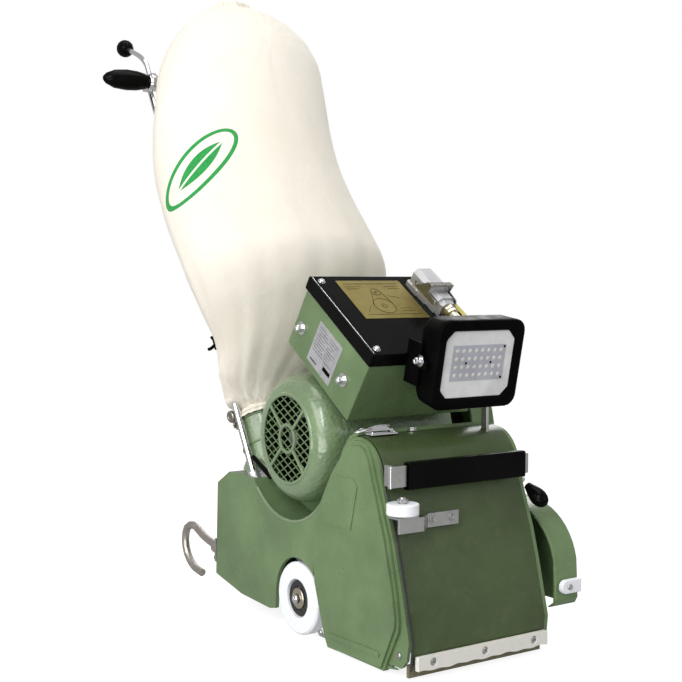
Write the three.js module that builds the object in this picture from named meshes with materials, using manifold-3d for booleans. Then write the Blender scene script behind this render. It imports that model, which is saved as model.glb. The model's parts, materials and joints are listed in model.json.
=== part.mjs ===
// Belt drum sander for wood floors: an abrasive belt runs round a rubber drum and an upper tension roller.
// Millimetres. +X is the operator's left, +Y points back towards the operator, +Z is up.
import * as THREE from 'three';
import { mergeVertices } from 'three/addons/utils/BufferGeometryUtils.js';
import Module from 'manifold-3d';

const wasm = await Module();
wasm.setup();

// Driving dimensions. A point written [y, z] lies in the machine's side plane.
const GAP = 0.3;
const DRUM = { y: 99, z: 93, r: 91.9, halfWidth: 100 };
const ROLLER = { y: 94, z: 243, r: 41 };
const BELT_THICKNESS = 0.8;
const CHAMBER_HALF = 110;
const BODY_HALF = 116;
const WALL = 6;
const MOTOR = { y: 265, z: 272, r: 92, near: -80, far: 100 };
const FAN_COVER = { depth: 38, grille: 60, hub: 15, bar: 1.8, pitch: 16, spokeWidth: 5,
  barAngles: [30, -30] };
const FAN = { y: 350, z: 112, r: 56 };
const WHEEL = { y: 239, z: 51, r: 51, inner: 95, outer: 117 };
const COLUMN = { y: 363, z: 205, lean: 29.4, length: 710 };
const TUBE_R = 16;
const ROD = { x: -102, y: 15, r: 5, foot: -113.2, eye: 5.1 };
const DUCT = { x: -56, y: 27, outer: 39, inner: 35, top: 111.6 };
const BAG = { foot: 112, full: 300, shoulder: 625, top: 785, mouth: 39, halfWidth: 171, halfDepth: 103,
  taper: 14, reach: 116, sway: [[112, -56], [225, -16], [450, -44], [760, 10]] };
const LEVER = { x: -109.9, half: 2.2, bore: 6.8, hub: 13 };
const ROCKER = { y: 381.5, z: 64.6, bore: 6.3 };
const CASTER = { y: 415, z: 28, trail: 18, r: 28 };
const BOX = { y: 140, z: 308, tilt: 33.9, length: 176, height: 91, near: -102, far: 107 };
const LAMP = { x: 30, y: 48, z: 389, tilt: 12, width: 144, height: 120, depth: 46, corner: 16, chamfer: 12,
  rim: [12.5, 14] };
const LID = { face: -124, shoulder: -120.5, flange: -116.5, back: -112.3, wall: 4, emboss: 1.4, floor: 4,
  hingeX: -114, hingeZ: 13 };
const PULLEY = { drum: 30, motor: 25.9, motorFan: 38, fan: 17, beltInner: 138, fanBeltInner: 154 };
const GUARD = { near: 133, far: 174, wall: 3, floor: 54 };
const BUFFER = { tail: 136, end: 173, middle: 84, half: 9.5 };
const HANDLE_Z = [233, 268];
const GUIDE = { x: -110, y: 6, z: 205, r: 20.5 };

const lacquer = (color, roughness = 0.45, metalness = 0.1) =>
  new THREE.MeshStandardMaterial({ color, roughness, metalness });
const green = () => lacquer(0x7a9570);
const steel = () => lacquer(0xb9bbbd, 0.3, 0.9);
const blackPlastic = () => lacquer(0x171717, 0.5, 0);
const whiteNylon = () => lacquer(0xeeeeea, 0.4, 0);
const blackRubber = () => lacquer(0x26231f, 0.85, 0);

function part(name, geometry, material) {
  const mesh = new THREE.Mesh(geometry, material);
  mesh.name = name;
  return mesh;
}

// --- solids -------------------------------------------------------------------------------------

function solid(geometry) {
  const bare = geometry.clone();
  bare.deleteAttribute('normal');
  bare.deleteAttribute('uv');
  const merged = mergeVertices(bare, 1e-4);
  const vertProperties = new Float32Array(merged.attributes.position.array);
  const triVerts = new Uint32Array(merged.index.array);
  return new wasm.Manifold(new wasm.Mesh({ numProp: 3, vertProperties, triVerts }));
}

function geometryOf(manifold) {
  const mesh = manifold.getMesh();
  const geometry = new THREE.BufferGeometry();
  geometry.setAttribute('position', new THREE.BufferAttribute(new Float32Array(mesh.vertProperties), 3));
  geometry.setIndex(new THREE.BufferAttribute(new Uint32Array(mesh.triVerts), 1));
  return geometry;
}

function join(...geometries) {
  return geometryOf(geometries.map(solid).reduce((sum, next) => sum.add(next)));
}

function cut(geometry, ...tools) {
  return geometryOf(tools.map(solid).reduce((rest, tool) => rest.subtract(tool), solid(geometry)));
}

function box(x0, x1, y0, y1, z0, z1) {
  return new THREE.BoxGeometry(x1 - x0, y1 - y0, z1 - z0)
    .translate((x0 + x1) / 2, (y0 + y1) / 2, (z0 + z1) / 2);
}

function shapeOf(points) {
  return new THREE.Shape(points.map(([a, b]) => new THREE.Vector2(a, b)));
}

// An outline in the side plane, extruded across the machine from x0 to x1.
function side(points, x0, x1, holes = []) {
  const shape = shapeOf(points);
  holes.forEach((hole) => shape.holes.push(shapeOf(hole)));
  const toSide = new THREE.Matrix4().makeBasis(
    new THREE.Vector3(0, 1, 0), new THREE.Vector3(0, 0, 1), new THREE.Vector3(1, 0, 0));
  return new THREE.ExtrudeGeometry(shape, { depth: x1 - x0, bevelEnabled: false })
    .applyMatrix4(toSide).translate(x0, 0, 0);
}

// An outline in the X-Z plane, extruded back from y0 to y1.
function front(points, y0, y1) {
  return new THREE.ExtrudeGeometry(shapeOf(points), { depth: y1 - y0, bevelEnabled: false })
    .rotateX(Math.PI / 2).translate(0, y1, 0);
}

function cylinderX(radius, x0, x1, y, z, segments = 32) {
  return new THREE.CylinderGeometry(radius, radius, x1 - x0, segments)
    .rotateZ(-Math.PI / 2).translate((x0 + x1) / 2, y, z);
}

function cylinderY(radius, y0, y1, x, z, segments = 16) {
  return new THREE.CylinderGeometry(radius, radius, y1 - y0, segments).translate(x, (y0 + y1) / 2, z);
}

function cylinderZ(radius, z0, z1, x, y, segments = 24) {
  return new THREE.CylinderGeometry(radius, radius, z1 - z0, segments)
    .rotateX(Math.PI / 2).translate(x, y, (z0 + z1) / 2);
}

// A turned piece about an axis along X; the profile is a list of [x, radius], taken clockwise.
function turnedX(profile, y = 0, z = 0, segments = 40) {
  const area = profile.reduce((sum, [x, r], i) => {
    const [nextX, nextR] = profile[(i + 1) % profile.length];
    return sum + x * nextR - nextX * r;
  }, 0);
  const clockwise = area > 0 ? [...profile].reverse() : profile;
  const points = clockwise.map(([x, radius]) => new THREE.Vector2(radius, x));
  return new THREE.LatheGeometry(points, segments).rotateZ(-Math.PI / 2).translate(0, y, z);
}

function ringX(outer, inner, x0, x1, y, z, segments = 32) {
  return turnedX([[x0, inner], [x0, outer], [x1, outer], [x1, inner], [x0, inner]], y, z, segments);
}

function rodBetween(a, b, radius, segments = 12) {
  const from = new THREE.Vector3(...a);
  const along = new THREE.Vector3(...b).sub(from);
  const turn = new THREE.Quaternion().setFromUnitVectors(
    new THREE.Vector3(0, 1, 0), along.clone().normalize());
  return new THREE.CylinderGeometry(radius, radius, along.length(), segments)
    .applyQuaternion(turn).translate(...from.addScaledVector(along, 0.5).toArray());
}

function bentRod(points, radius, steps, sides = 10) {
  const path = new THREE.CatmullRomCurve3(points.map((p) => new THREE.Vector3(...p)));
  const section = new THREE.Shape().absarc(0, 0, radius, 0, 2 * Math.PI);
  return new THREE.ExtrudeGeometry(section, {
    steps, extrudePath: path, curveSegments: sides / 2, bevelEnabled: false });
}

function ball(radius, x, y, z) {
  return new THREE.SphereGeometry(radius, 16, 10).translate(x, y, z);
}

const toMicron = (value) => Math.round(value * 1000) / 1000;

function arc(y, z, radius, fromDegrees, toDegrees, steps) {
  return Array.from({ length: steps + 1 }, (_, i) => {
    const angle = THREE.MathUtils.degToRad(fromDegrees + ((toDegrees - fromDegrees) * i) / steps);
    return [toMicron(y + radius * Math.cos(angle)), toMicron(z + radius * Math.sin(angle))];
  });
}

// The taut line round a set of circles [y, z, radius]: the convex hull of their points.
function loopAround(circles, steps = 64) {
  const points = circles.flatMap(([y, z, r]) => arc(y, z, r, 0, 360, steps).slice(1));
  points.sort((a, b) => a[0] - b[0] || a[1] - b[1]);
  const turn = (o, a, b) => (a[0] - o[0]) * (b[1] - o[1]) - (a[1] - o[1]) * (b[0] - o[0]);
  const half = (list) => list.reduce((chain, p) => {
    while (chain.length > 1 && turn(chain.at(-2), chain.at(-1), p) <= 1e-6) chain.pop();
    chain.push(p);
    return chain;
  }, []);
  return [...half(points).slice(0, -1), ...half(points.reverse()).slice(0, -1)];
}

// A closed strip of even thickness on the right-hand side of an open outline.
function strip(points, thickness) {
  const offset = points.map((p, i) => {
    const a = points[Math.max(i - 1, 0)];
    const b = points[Math.min(i + 1, points.length - 1)];
    const length = Math.hypot(b[0] - a[0], b[1] - a[1]);
    return [p[0] + ((b[1] - a[1]) / length) * thickness, p[1] - ((b[0] - a[0]) / length) * thickness];
  });
  return [...points, ...offset.reverse()];
}

// A closed solid through oval sections {z, x, y, rx, ry} stacked along Z.
function loft(sections, sides = 20) {
  const ring = (s) => Array.from({ length: sides }, (_, i) => {
    const angle = (2 * Math.PI * i) / sides;
    return [s.x + s.rx * Math.cos(angle), s.y + s.ry * Math.sin(angle), s.z];
  });
  const first = sections[0];
  const last = sections.at(-1);
  const points = [...sections.flatMap(ring), [first.x, first.y, first.z], [last.x, last.y, last.z]];
  const foot = sections.length * sides;
  const faces = [];
  for (let i = 0; i < sides; i += 1) {
    const j = (i + 1) % sides;
    faces.push(foot, j, i);
    faces.push(foot + 1, foot - sides + i, foot - sides + j);
    for (let k = 0; k < sections.length - 1; k += 1) {
      const low = k * sides;
      faces.push(low + i, low + j, low + sides + j, low + i, low + sides + j, low + sides + i);
    }
  }
  const geometry = new THREE.BufferGeometry();
  geometry.setAttribute('position', new THREE.Float32BufferAttribute(points.flat(), 3));
  geometry.setIndex(faces);
  return geometry;
}

// --- castings and covers ------------------------------------------------------------------------

const CRADLE_R = 115;
const frontLine = [[-14, 20], [-17, 50], [-10, 77], [0, 118], [13, 164], [29, 206], [37, 230],
  ...arc(93, 243, 51, 160, 86, 7)];
const chamberBack = [[101, 293.7], [118, 287], [132, 270], [143, 246], [156, 215], [176, 187],
  [190, 150], [198, 110], [200, 30]];
const lidPanel = [[33, 8], [5, 64], [4, 77], [10, 109], [28, 174], [56, 250], [62, 266], [70, 278],
  [80, 283], [98, 282], [108, 278], [145, 234], [176, 184], [185, 160], [187, 133], [184, 86], [161, 21],
  [152, 5]];
const lidFlange = [[0, 12], [-12, 26], [-16, 50], [-9, 77], [1, 118], [14, 164], [30, 206], [38, 230],
  ...arc(93, 243, 50, 160, 86, 7), [115, 286], [130, 269], [140, 246], [153, 215], [172, 188], [185, 150],
  [190, 110], [188, 76], [179, 48], [166, 18], [155, 3], [40, 5]];
const rearTop = [[357, 203], [386, 205], [431, 204], [467, 183], [473, 41], [465, 39], [395, 25],
  [347, 23], [314, 21], [290, 26], [200, 30]];

function pivotBoss(hand) {
  const x = hand * (CHAMBER_HALF + 2);
  const inner = hand * 80;
  return cylinderX(ROCKER.bore - GAP, Math.min(x, inner), Math.max(x, inner), ROCKER.y, ROCKER.z, 20);
}

function machineHousing() {
  const cradle = arc(MOTOR.y, MOTOR.z, CRADLE_R, 203, 320, 14);
  const outline = [...chamberBack.slice(3), ...rearTop.slice(0, -1).reverse(), ...cradle.reverse()];
  const hollow = [[206, -10], [206, 112], [197, 152],
    ...arc(MOTOR.y, MOTOR.z, CRADLE_R + WALL, 228, 318, 12), [386, 199], [429, 198],
    [461, 180], [467, -10]];
  const body = side(outline, -BODY_HALF, BODY_HALF);
  const cavity = side(hollow, -CHAMBER_HALF, CHAMBER_HALF);
  const farPlate = side([...frontLine, ...chamberBack], CHAMBER_HALF + GAP, BODY_HALF);
  const backWall = side(strip([...chamberBack].reverse(), 5), -CHAMBER_HALF, BODY_HALF);
  const saddle = side([...arc(MOTOR.y, MOTOR.z, MOTOR.r + 0.8, 235, 305, 8),
    ...arc(MOTOR.y, MOTOR.z, CRADLE_R + 2, 305, 235, 8)], -60, 60);
  const casterPlate = box(-40, 40, CASTER.y - 18, 470, 70, 76);
  const arch = (x0, x1) => side(
    loopAround([[WHEEL.y, WHEEL.z, WHEEL.r + 6], [WHEEL.y + 2, WHEEL.z - 30, WHEEL.r + 6]], 40), x0, x1);
  return join(
    cut(join(cut(body, cavity), farPlate, backWall, saddle, casterPlate, pivotBoss(-1), pivotBoss(1)),
      arch(-BODY_HALF - 1, -WHEEL.inner + 4), arch(WHEEL.inner - 4, BODY_HALF + 1),
      cylinderX(24.3, CHAMBER_HALF - 1, BODY_HALF + 1, DRUM.y, DRUM.z, 32),
      side(loopAround([[ROLLER.y, ROLLER.z, 12.4], [ROLLER.y, ROLLER.z - 9, 12.4]], 24),
        CHAMBER_HALF - 1, BODY_HALF + 1),
      cylinderX(14.3, CHAMBER_HALF - 5, BODY_HALF + 1, FAN.y, FAN.z, 24),
      cylinderZ(8.3, 69, 77, 0, CASTER.y, 20),
      box(ROD.x - 7, ROD.x + 7, 360, 392, 190, 208),
      cylinderZ(30, 190, 210, -56, 392, 24)));
}

function frontCover() {
  const flange = side([[34, 222], [39, 222], [46, 243], [41, 243]], -40, 40);
  return join(side(strip(frontLine, 4), -CHAMBER_HALF, CHAMBER_HALF), flange);
}

// The outline drawn in towards its middle by that much.
function inset(line, by) {
  const middle = [0, 1].map((axis) => line.reduce((sum, p) => sum + p[axis], 0) / line.length);
  return line.map(([y, z]) => {
    const away = Math.hypot(y - middle[0], z - middle[1]);
    return [y - ((y - middle[0]) * by) / away, z - ((z - middle[1]) * by) / away];
  });
}

function sideLid() {
  const { face, shoulder, flange, back, emboss } = LID;
  const step = inset(lidPanel, -6).map(([y, z]) => [y, Math.max(z, LID.floor)]);
  const layers = [side(lidFlange, flange, back), side(step, shoulder, back), side(lidPanel, face, back)];
  const pad = side([[98, 171], [160, 171], [166, 180], [140, 232], [132, 238], [92, 239], [83, 230]],
    face - emboss, back);
  const rib = side([[36, 21], [148, 19], [150, 24], [146, 26], [37, 28], [34, 25]], face - emboss, back);
  const hollow = side(inset(lidPanel, LID.wall), face + LID.wall, back + 1);
  const pinBore = cylinderY(2.8, -20, 200, LID.hingeX, LID.hingeZ, 16);
  const bodyFront = chamberBack.slice(1).map(([y, z]) => [y - 1, z]);
  const rearBody = side([...bodyFront, [199, 0], [260, 0], [260, 300]], -BODY_HALF - GAP, -CHAMBER_HALF);
  return cut(join(...layers, pad, rib), hollow, pinBore, rearBody);
}

// A cup over both V-belts: a low round lobe in front, a hollow curve up to the motor's lobe, and the
// fan's lobe behind.
function beltGuard() {
  const { near, far, wall, floor } = GUARD;
  const nose = [[0, floor], [-9, floor + 3], [-14, floor + 12], [-13, 84]];
  const frontLobe = arc(75, 100, 88, 168, 100, 9);
  const rise = [[80, 189], [101, 194], [124, 202], [142, 219], [153, 242], [157, 262]];
  const motorLobe = arc(MOTOR.y, MOTOR.z, 107, 172, -8, 18);
  const fanLobe = arc(FAN.y, FAN.z, 46, -10, -70, 5);
  const outer = [...nose, ...frontLobe, ...rise, ...motorLobe, ...fanLobe, [356, floor]];
  const inner = [[4, floor - 1], [-8, floor + 8], [-9, 84], ...arc(75, 100, 84, 168, 100, 9), [81, 185],
    [103, 190], [127, 199], [146, 216], [157, 240], [161, 262], ...arc(MOTOR.y, MOTOR.z, 103, 172, -8, 18),
    ...arc(FAN.y, FAN.z, 42, -10, -64, 5), [350, floor - 1]];
  return cut(side(outer, near, far), side(inner, near - 1, far - wall));
}

// Round at its inner end, square where it wraps the guard's corner.
function guardBuffer() {
  const { middle, half, tail, end } = BUFFER;
  const outline = [...arc(tail + half, middle, half, 90, 270, 8),
    [end, middle - half], [end, middle + half]];
  return front(outline, -22.5, -14.8);
}

function castings() {
  return [
    part('machine_housing', machineHousing(), green()),
    part('front_cover', frontCover(), lacquer(0x5f7a52)),
    part('side_lid', sideLid(), green()),
    part('lid_hinge_pin', cylinderY(2.5, 18, 182, LID.hingeX, LID.hingeZ, 12), steel()),
    part('belt_guard', beltGuard(), green()),
    part('guard_buffer', guardBuffer(), whiteNylon()),
    part('front_bumper_strip', box(-108, 108, -25, -17.6, 14, 32), whiteNylon()),
    part('front_seal_strip', box(-111, 109.5, -9, -4, 3, 19.5), lacquer(0x6b4c34, 0.9, 0)),
  ];
}

// --- sanding drum, roller and belts -------------------------------------------------------------

function pulleyX(grooves, bore, y, z) {
  const profile = grooves.flatMap(({ x, r }) => [[x - 8, r + 5], [x - 6.5, r + 5], [x - 6.5, r - 6],
    [x + 6.5, r - 6], [x + 6.5, r + 5], [x + 8, r + 5]]);
  const start = [profile[0][0], bore];
  return turnedX([start, ...profile, [profile.at(-1)[0], bore], start], y, z, 24);
}

function vBelt(x, circles) {
  const outer = loopAround(circles.map(([y, z, r]) => [y, z, r + 3]), 32);
  const inner = loopAround(circles.map(([y, z, r]) => [y, z, r - 5]), 32);
  return side(outer, x - 5.5, x + 5.5, [inner]);
}

function sandingDrive() {
  const belt = side(
    loopAround([[DRUM.y, DRUM.z, DRUM.r + GAP + BELT_THICKNESS],
      [ROLLER.y, ROLLER.z, ROLLER.r + GAP + BELT_THICKNESS]], 64),
    -DRUM.halfWidth, DRUM.halfWidth,
    [loopAround([[DRUM.y, DRUM.z, DRUM.r + GAP], [ROLLER.y, ROLLER.z, ROLLER.r + GAP]], 64)]);
  const fanBeltX = PULLEY.fanBeltInner + 6;
  const drumBeltX = PULLEY.beltInner + 2;
  return [
    part('sanding_drum', turnedX([[-98, 12.2], [-98, 80], [-100, 86], [-100, DRUM.r], [100, DRUM.r],
      [100, 80], [96, 76], [96, 12.2], [-98, 12.2]], DRUM.y, DRUM.z, 48), blackRubber()),
    part('drum_shaft', turnedX([[-106, 0], [-106, 9], [-98.5, 12], [166, 12], [166, 0]],
      DRUM.y, DRUM.z, 24), steel()),
    part('drum_bearing', ringX(24, 12.4, 104, 128, DRUM.y, DRUM.z, 32), steel()),
    part('drum_pulley', pulleyX([{ x: drumBeltX, r: PULLEY.drum }], 12.3, DRUM.y, DRUM.z), blackPlastic()),
    part('abrasive_belt', belt, lacquer(0x3a2b22, 0.95, 0)),
    part('tension_roller', turnedX([[-99, 8.3], [-99, ROLLER.r], [99, ROLLER.r], [99, 8.3], [-99, 8.3]],
      ROLLER.y, ROLLER.z, 36), lacquer(0x8f9294, 0.4, 0.7)),
    part('roller_carrier', turnedX([[-104, 0], [-104, 8], [101, 8], [101, 12], [118.5, 12], [118.5, 0]],
      ROLLER.y, ROLLER.z, 24), steel()),
    part('drum_v_belt', vBelt(drumBeltX, [[DRUM.y, DRUM.z, PULLEY.drum],
      [MOTOR.y, MOTOR.z, PULLEY.motor]]), blackRubber()),
    part('fan_v_belt', vBelt(fanBeltX, [[MOTOR.y, MOTOR.z, PULLEY.motorFan],
      [FAN.y, FAN.z, PULLEY.fan]]), blackRubber()),
  ];
}

function tensionLever() {
  const pivot = [125, ROLLER.y - 4, ROLLER.z];
  const neck = [131, 50, 219.5];
  const tip = [131, 26, 205];
  const hub = cylinderX(9, 119.5, 130, pivot[1], pivot[2], 16);
  const arm = rodBetween(pivot, neck, 4.5, 10);
  const socket = rodBetween(pivot, [131, 49.6, 219.3], 5);
  const knob = new THREE.LatheGeometry([[0, -14], [7, -12], [11, -4], [13, 6], [12, 14], [8, 20], [0, 22]]
    .map(([r, h]) => new THREE.Vector2(r, h)), 20)
    .applyQuaternion(new THREE.Quaternion().setFromUnitVectors(new THREE.Vector3(0, 1, 0),
      new THREE.Vector3(0, tip[1] - neck[1], tip[2] - neck[2]).normalize()))
    .translate(...tip);
  return [
    part('tension_lever', join(hub, arm), steel()),
    part('tension_lever_knob', cut(knob, socket), blackPlastic()),
  ];
}

// --- motor and suction fan ----------------------------------------------------------------------

function fanCover() {
  const { y, z, r, near } = MOTOR;
  const face = near - FAN_COVER.depth;
  const { grille, hub, bar, pitch, spokeWidth } = FAN_COVER;
  const shell = turnedX([[near - GAP, r - 4], [near - GAP, r], [near - 12, r - 1], [near - 22, r - 5],
    [near - 30, r - 12], [near - 35, r - 20], [face, grille + 4], [face, grille], [face + 3, grille],
    [near - 31, r - 19], [near - 22, r - 10], [near - 12, r - 5], [near - GAP, r - 4]], y, z, 36);
  const hubDisc = ringX(hub, hub - 4, face + 0.5, face + 3, y, z, 24);
  const spoke = (angle) => cut(
    box(face + 0.5, face + 3, -grille - 1, grille + 1, -spokeWidth / 2, spokeWidth / 2)
      .rotateX(THREE.MathUtils.degToRad(angle)).translate(0, y, z),
    cylinderX(hub - 1, face, face + 4, y, z, 24));
  const offsets = [-3, -2, -1, 0, 1, 2, 3].map((step) => step * pitch);
  const bars = offsets.flatMap((offset) => FAN_COVER.barAngles.map((angle) => {
    const reach = Math.sqrt((grille + 1) ** 2 - offset ** 2);
    return box(face + 1.4, face + 3, -reach, reach, offset - bar / 2, offset + bar / 2)
      .rotateX(THREE.MathUtils.degToRad(angle)).translate(0, y, z);
  }));
  return join(shell, hubDisc, spoke(45), spoke(135), ...bars);
}

function bladedWheel(radius, x0, x1, bore, blades, y, z) {
  const disc = ringX(radius, bore, x0, x0 + 3, y, z, 24);
  const hub = ringX(bore + 6, bore, x0, x1, y, z, 16);
  const blade = (i) => box(x0 + 1, x1, bore + 4, radius - 1, -1.2, 1.2)
    .rotateX((2 * Math.PI * i) / blades).translate(0, y, z);
  return join(disc, hub, ...Array.from({ length: blades }, (_, i) => blade(i)));
}

function motorAndFan() {
  const { y, z, r, near, far } = MOTOR;
  const fanBeltX = PULLEY.fanBeltInner + 6;
  const drumBeltX = PULLEY.beltInner + 2;
  return [
    part('motor_frame', turnedX([[near, 12.4], [near, r], [far + 8, r], [far + 8, 12.4], [far, 12.4],
      [far, r - 4], [near + 8, r - 4], [near + 8, 12.4], [near, 12.4]], y, z, 40), green()),
    part('motor_stator', ringX(r - 5, 52, near + 26, far - 24, y, z, 28), lacquer(0x8a6a3a, 0.6, 0.4)),
    part('motor_rotor', ringX(51, 12.3, near + 24, far - 22, y, z, 24), steel()),
    part('motor_shaft', cylinderX(12, near - 26, 168, y, z, 24), steel()),
    part('motor_fan_cover', fanCover(), green()),
    part('motor_cooling_fan', bladedWheel(60, near - 20, near - 6, 12.3, 8, y, z), blackPlastic()),
    part('motor_pulley', pulleyX([{ x: drumBeltX, r: PULLEY.motor }, { x: fanBeltX, r: PULLEY.motorFan }],
      12.3, y, z), lacquer(0x44474a, 0.5, 0.6)),
    part('suction_fan', bladedWheel(FAN.r, -30, 12, 8.3, 10, FAN.y, FAN.z), lacquer(0x9a9c9e, 0.4, 0.7)),
    part('suction_fan_shaft', join(cylinderX(8, -34, 168, FAN.y, FAN.z, 20),
      pulleyX([{ x: fanBeltX, r: PULLEY.fan }], 7.5, FAN.y, FAN.z)), lacquer(0x44474a, 0.5, 0.6)),
  ];
}

// --- wheels and drum lift -----------------------------------------------------------------------

function wheel(hand) {
  const face = hand * WHEEL.outer;
  const back = hand * WHEEL.inner;
  const profile = [[back, 6.4], [back, WHEEL.r - 3], [back + hand * 3, WHEEL.r], [face - hand * 3, WHEEL.r],
    [face, WHEEL.r - 3], [face, 27], [face - hand * 6, 26], [face - hand * 6, 6.4], [back, 6.4]];
  return turnedX(profile, WHEEL.y, WHEEL.z, 32);
}

function wheelRocker() {
  const foot = [ROCKER.y - 61, ROCKER.z + 34.4];
  const plate = (x0, x1, crank) => side(
    loopAround([[WHEEL.y, WHEEL.z, 11], [ROCKER.y, ROCKER.z, 12], ...(crank ? [[...foot, 8]] : [])], 24),
    x0, x1, [arc(ROCKER.y, ROCKER.z, ROCKER.bore, 0, 360, 20).slice(1)]);
  return join(
    plate(-92, -84, true), plate(84, 92, false),
    cylinderX(8, -88, 88, 275, 58, 20),
    cylinderX(6, -119, -88, WHEEL.y, WHEEL.z, 20), cylinderX(6, 88, 119, WHEEL.y, WHEEL.z, 20),
    cylinderX(3, -107, -88, ...foot, 12));
}

function caster() {
  const { y, z, trail, r } = CASTER;
  const leg = (x0, x1) => side([[y - 14, 62], [y + 16, 62], [y + trail + 8, z - 6], [y + trail - 8, z - 6]],
    x0, x1);
  const fork = join(box(-17, 17, y - 14, y + 16, 59, 63), leg(-17, -14), leg(14, 17),
    cylinderZ(8, 60, 82, 0, y, 20), cylinderX(4, -20, 20, y + trail, z, 16));
  const tread = [[-11, 4.3], [-11, r - 3], [-8, r], [8, r], [11, r - 3], [11, 4.3], [-11, 4.3]];
  return [
    part('caster_fork', fork, steel()),
    part('caster_wheel', turnedX(tread, y + trail, z, 28), blackRubber()),
  ];
}

function runningGear() {
  return [
    part('wheel_near', wheel(-1), whiteNylon()),
    part('wheel_far', wheel(1), whiteNylon()),
    part('wheel_rocker', wheelRocker(), lacquer(0x3c3f42, 0.5, 0.6)),
    ...caster(),
  ];
}

// --- guide column: Z runs up the leaning tube, Y points back and down ------------------------------

function liftRod() {
  const top = COLUMN.length;
  const eye = (z) => cylinderX(8, ROD.x - 4, ROD.x + 4, ROD.y, z, 20);
  return cut(join(cylinderZ(ROD.r, ROD.foot, top, ROD.x, ROD.y, 16), eye(ROD.foot), eye(top)),
    cylinderX(ROD.eye, ROD.x - 6, ROD.x + 6, ROD.y, ROD.foot, 16),
    cylinderX(ROD.eye, ROD.x - 6, ROD.x + 6, ROD.y, top, 16));
}

function liftLever() {
  const top = COLUMN.length;
  const { x, half, bore, hub } = LEVER;
  const plate = join(side(loopAround([[0, top, hub], [ROD.y + 1, top, 7]], 24), x - half, x + half),
    cylinderX(3, x, ROD.x + 5, ROD.y, top, 12));
  const route = [[x + 2, -4, top + 8], [x + 2, -4, top + 34], [x + 2, 8, top + 58], [x + 9, 52, top + 107.6]];
  const arm = bentRod(route, 4.2, 10, 8);
  return cut(join(plate, arm), cylinderX(bore, x - half - 3, x + half + 3, 0, top, 28));
}

function grip(hand) {
  const at = (x) => hand * x;
  const profile = [[at(184), 0], [at(184), 6.7], [at(113), 6.7], [at(113), 11], [at(118), 13], [at(132), 16],
    [at(150), 17], [at(172), 15], [at(186), 9], [at(191), 4], [at(192), 0]];
  return turnedX(profile, 0, COLUMN.length, 18);
}

function handleBar() {
  const top = COLUMN.length;
  const bar = turnedX([[-183, 0], [-183, 6.4], [-97, 6.4], [-97, 11], [97, 11], [97, 6.4], [183, 6.4],
    [183, 0]], 0, top, 16);
  const sleeve = cylinderZ(TUBE_R + 4, top - 46, top + 4, 0, 0, 20);
  return cut(join(bar, sleeve), cylinderZ(TUBE_R + 0.6, top - 50, top - 12, 0, 0, 24));
}

// A value that runs smoothly through hand-placed stops [z, value].
function eased(stops, z) {
  const next = stops.findIndex(([stop]) => stop >= z);
  if (next === 0) return stops[0][1];
  if (next < 0) return stops.at(-1)[1];
  const [z0, from] = stops[next - 1];
  const [z1, to] = stops[next];
  return from + (to - from) * THREE.MathUtils.smoothstep(z, z0, z1);
}

// One oval of the bag: it swells from the duct's mouth, hangs almost straight, and closes in a dome.
function bagSection(z) {
  const { foot, full, shoulder, top, mouth, halfWidth, halfDepth, taper, sway, reach } = BAG;
  const swell = Math.sin((Math.PI / 2) * Math.min((z - foot) / (full - foot), 1));
  const straight = THREE.MathUtils.clamp((z - full) / (shoulder - full), 0, 1);
  const dome = Math.max((z - shoulder) / (top + 6 - shoulder), 0);
  const closing = (1 - dome ** 2) ** 0.55;
  return {
    z,
    x: eased(sway, z),
    y: THREE.MathUtils.lerp(DUCT.y, -reach, swell ** 1.2),
    rx: (mouth + (halfWidth - mouth) * swell - taper * straight) * closing,
    ry: (mouth + (halfDepth - mouth) * swell ** 1.3 - (taper / 2) * straight) * closing,
  };
}

function dustBag() {
  const heights = [0, 30, 65, 105, 160, 240, 340, 440, 530, 595, 636, 660, 671].map((h) => BAG.foot + h);
  return cut(loft(heights.map(bagSection)), cylinderZ(TUBE_R + 7, 100, COLUMN.length + 20, 0, 0, 24),
    cylinderZ(ROD.r + 8, 100, COLUMN.length + 20, ROD.x, ROD.y + 1, 20));
}

function guideColumn() {
  const column = new THREE.Group();
  column.position.set(0, COLUMN.y, COLUMN.z);
  column.rotation.x = -THREE.MathUtils.degToRad(COLUMN.lean);
  const belowTop = box(-130, 130, -130, 130, -200, 0.4)
    .rotateX(THREE.MathUtils.degToRad(COLUMN.lean));
  const duct = cut(
    join(cylinderZ(DUCT.outer, -30, DUCT.top, DUCT.x, DUCT.y, 32), ball(34, DUCT.x - 6, DUCT.y + 21, 22)),
    cylinderZ(DUCT.inner, -40, DUCT.top + 9, DUCT.x, DUCT.y, 32));
  const socket = ringZ(21, TUBE_R + 0.6, -20, 62, 0, 0, 24);
  column.add(
    part('suction_duct', cut(duct, belowTop), green()),
    part('tube_socket', cut(socket, belowTop), lacquer(0x6f8a66)),
    part('guide_tube', cylinderZ(TUBE_R, 12, COLUMN.length - 12.4, 0, 0, 28), steel()),
    part('handle_bar', handleBar(), steel()),
    part('grip_near', grip(-1), blackPlastic()),
    part('grip_far', grip(1), blackPlastic()),
    part('lift_rod', liftRod(), steel()),
    part('lift_lever', liftLever(), steel()),
    part('lift_lever_ball', ball(15, -100, 63, COLUMN.length + 119), blackPlastic()),
    part('lift_link', rodBetween([ROD.x, 6, 33], [ROD.x, -28, -13], 4, 10), blackPlastic()),
    part('dust_bag', dustBag(), lacquer(0xf3ead2, 0.95, 0)),
  );
  return column;
}

function ringZ(outer, inner, z0, z1, x, y, segments) {
  return ringX(outer, inner, z0, z1, 0, 0, segments).rotateY(-Math.PI / 2).translate(x, y, 0);
}

// --- control box: Y runs up its sloping top, Z is square to it ------------------------------------

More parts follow.
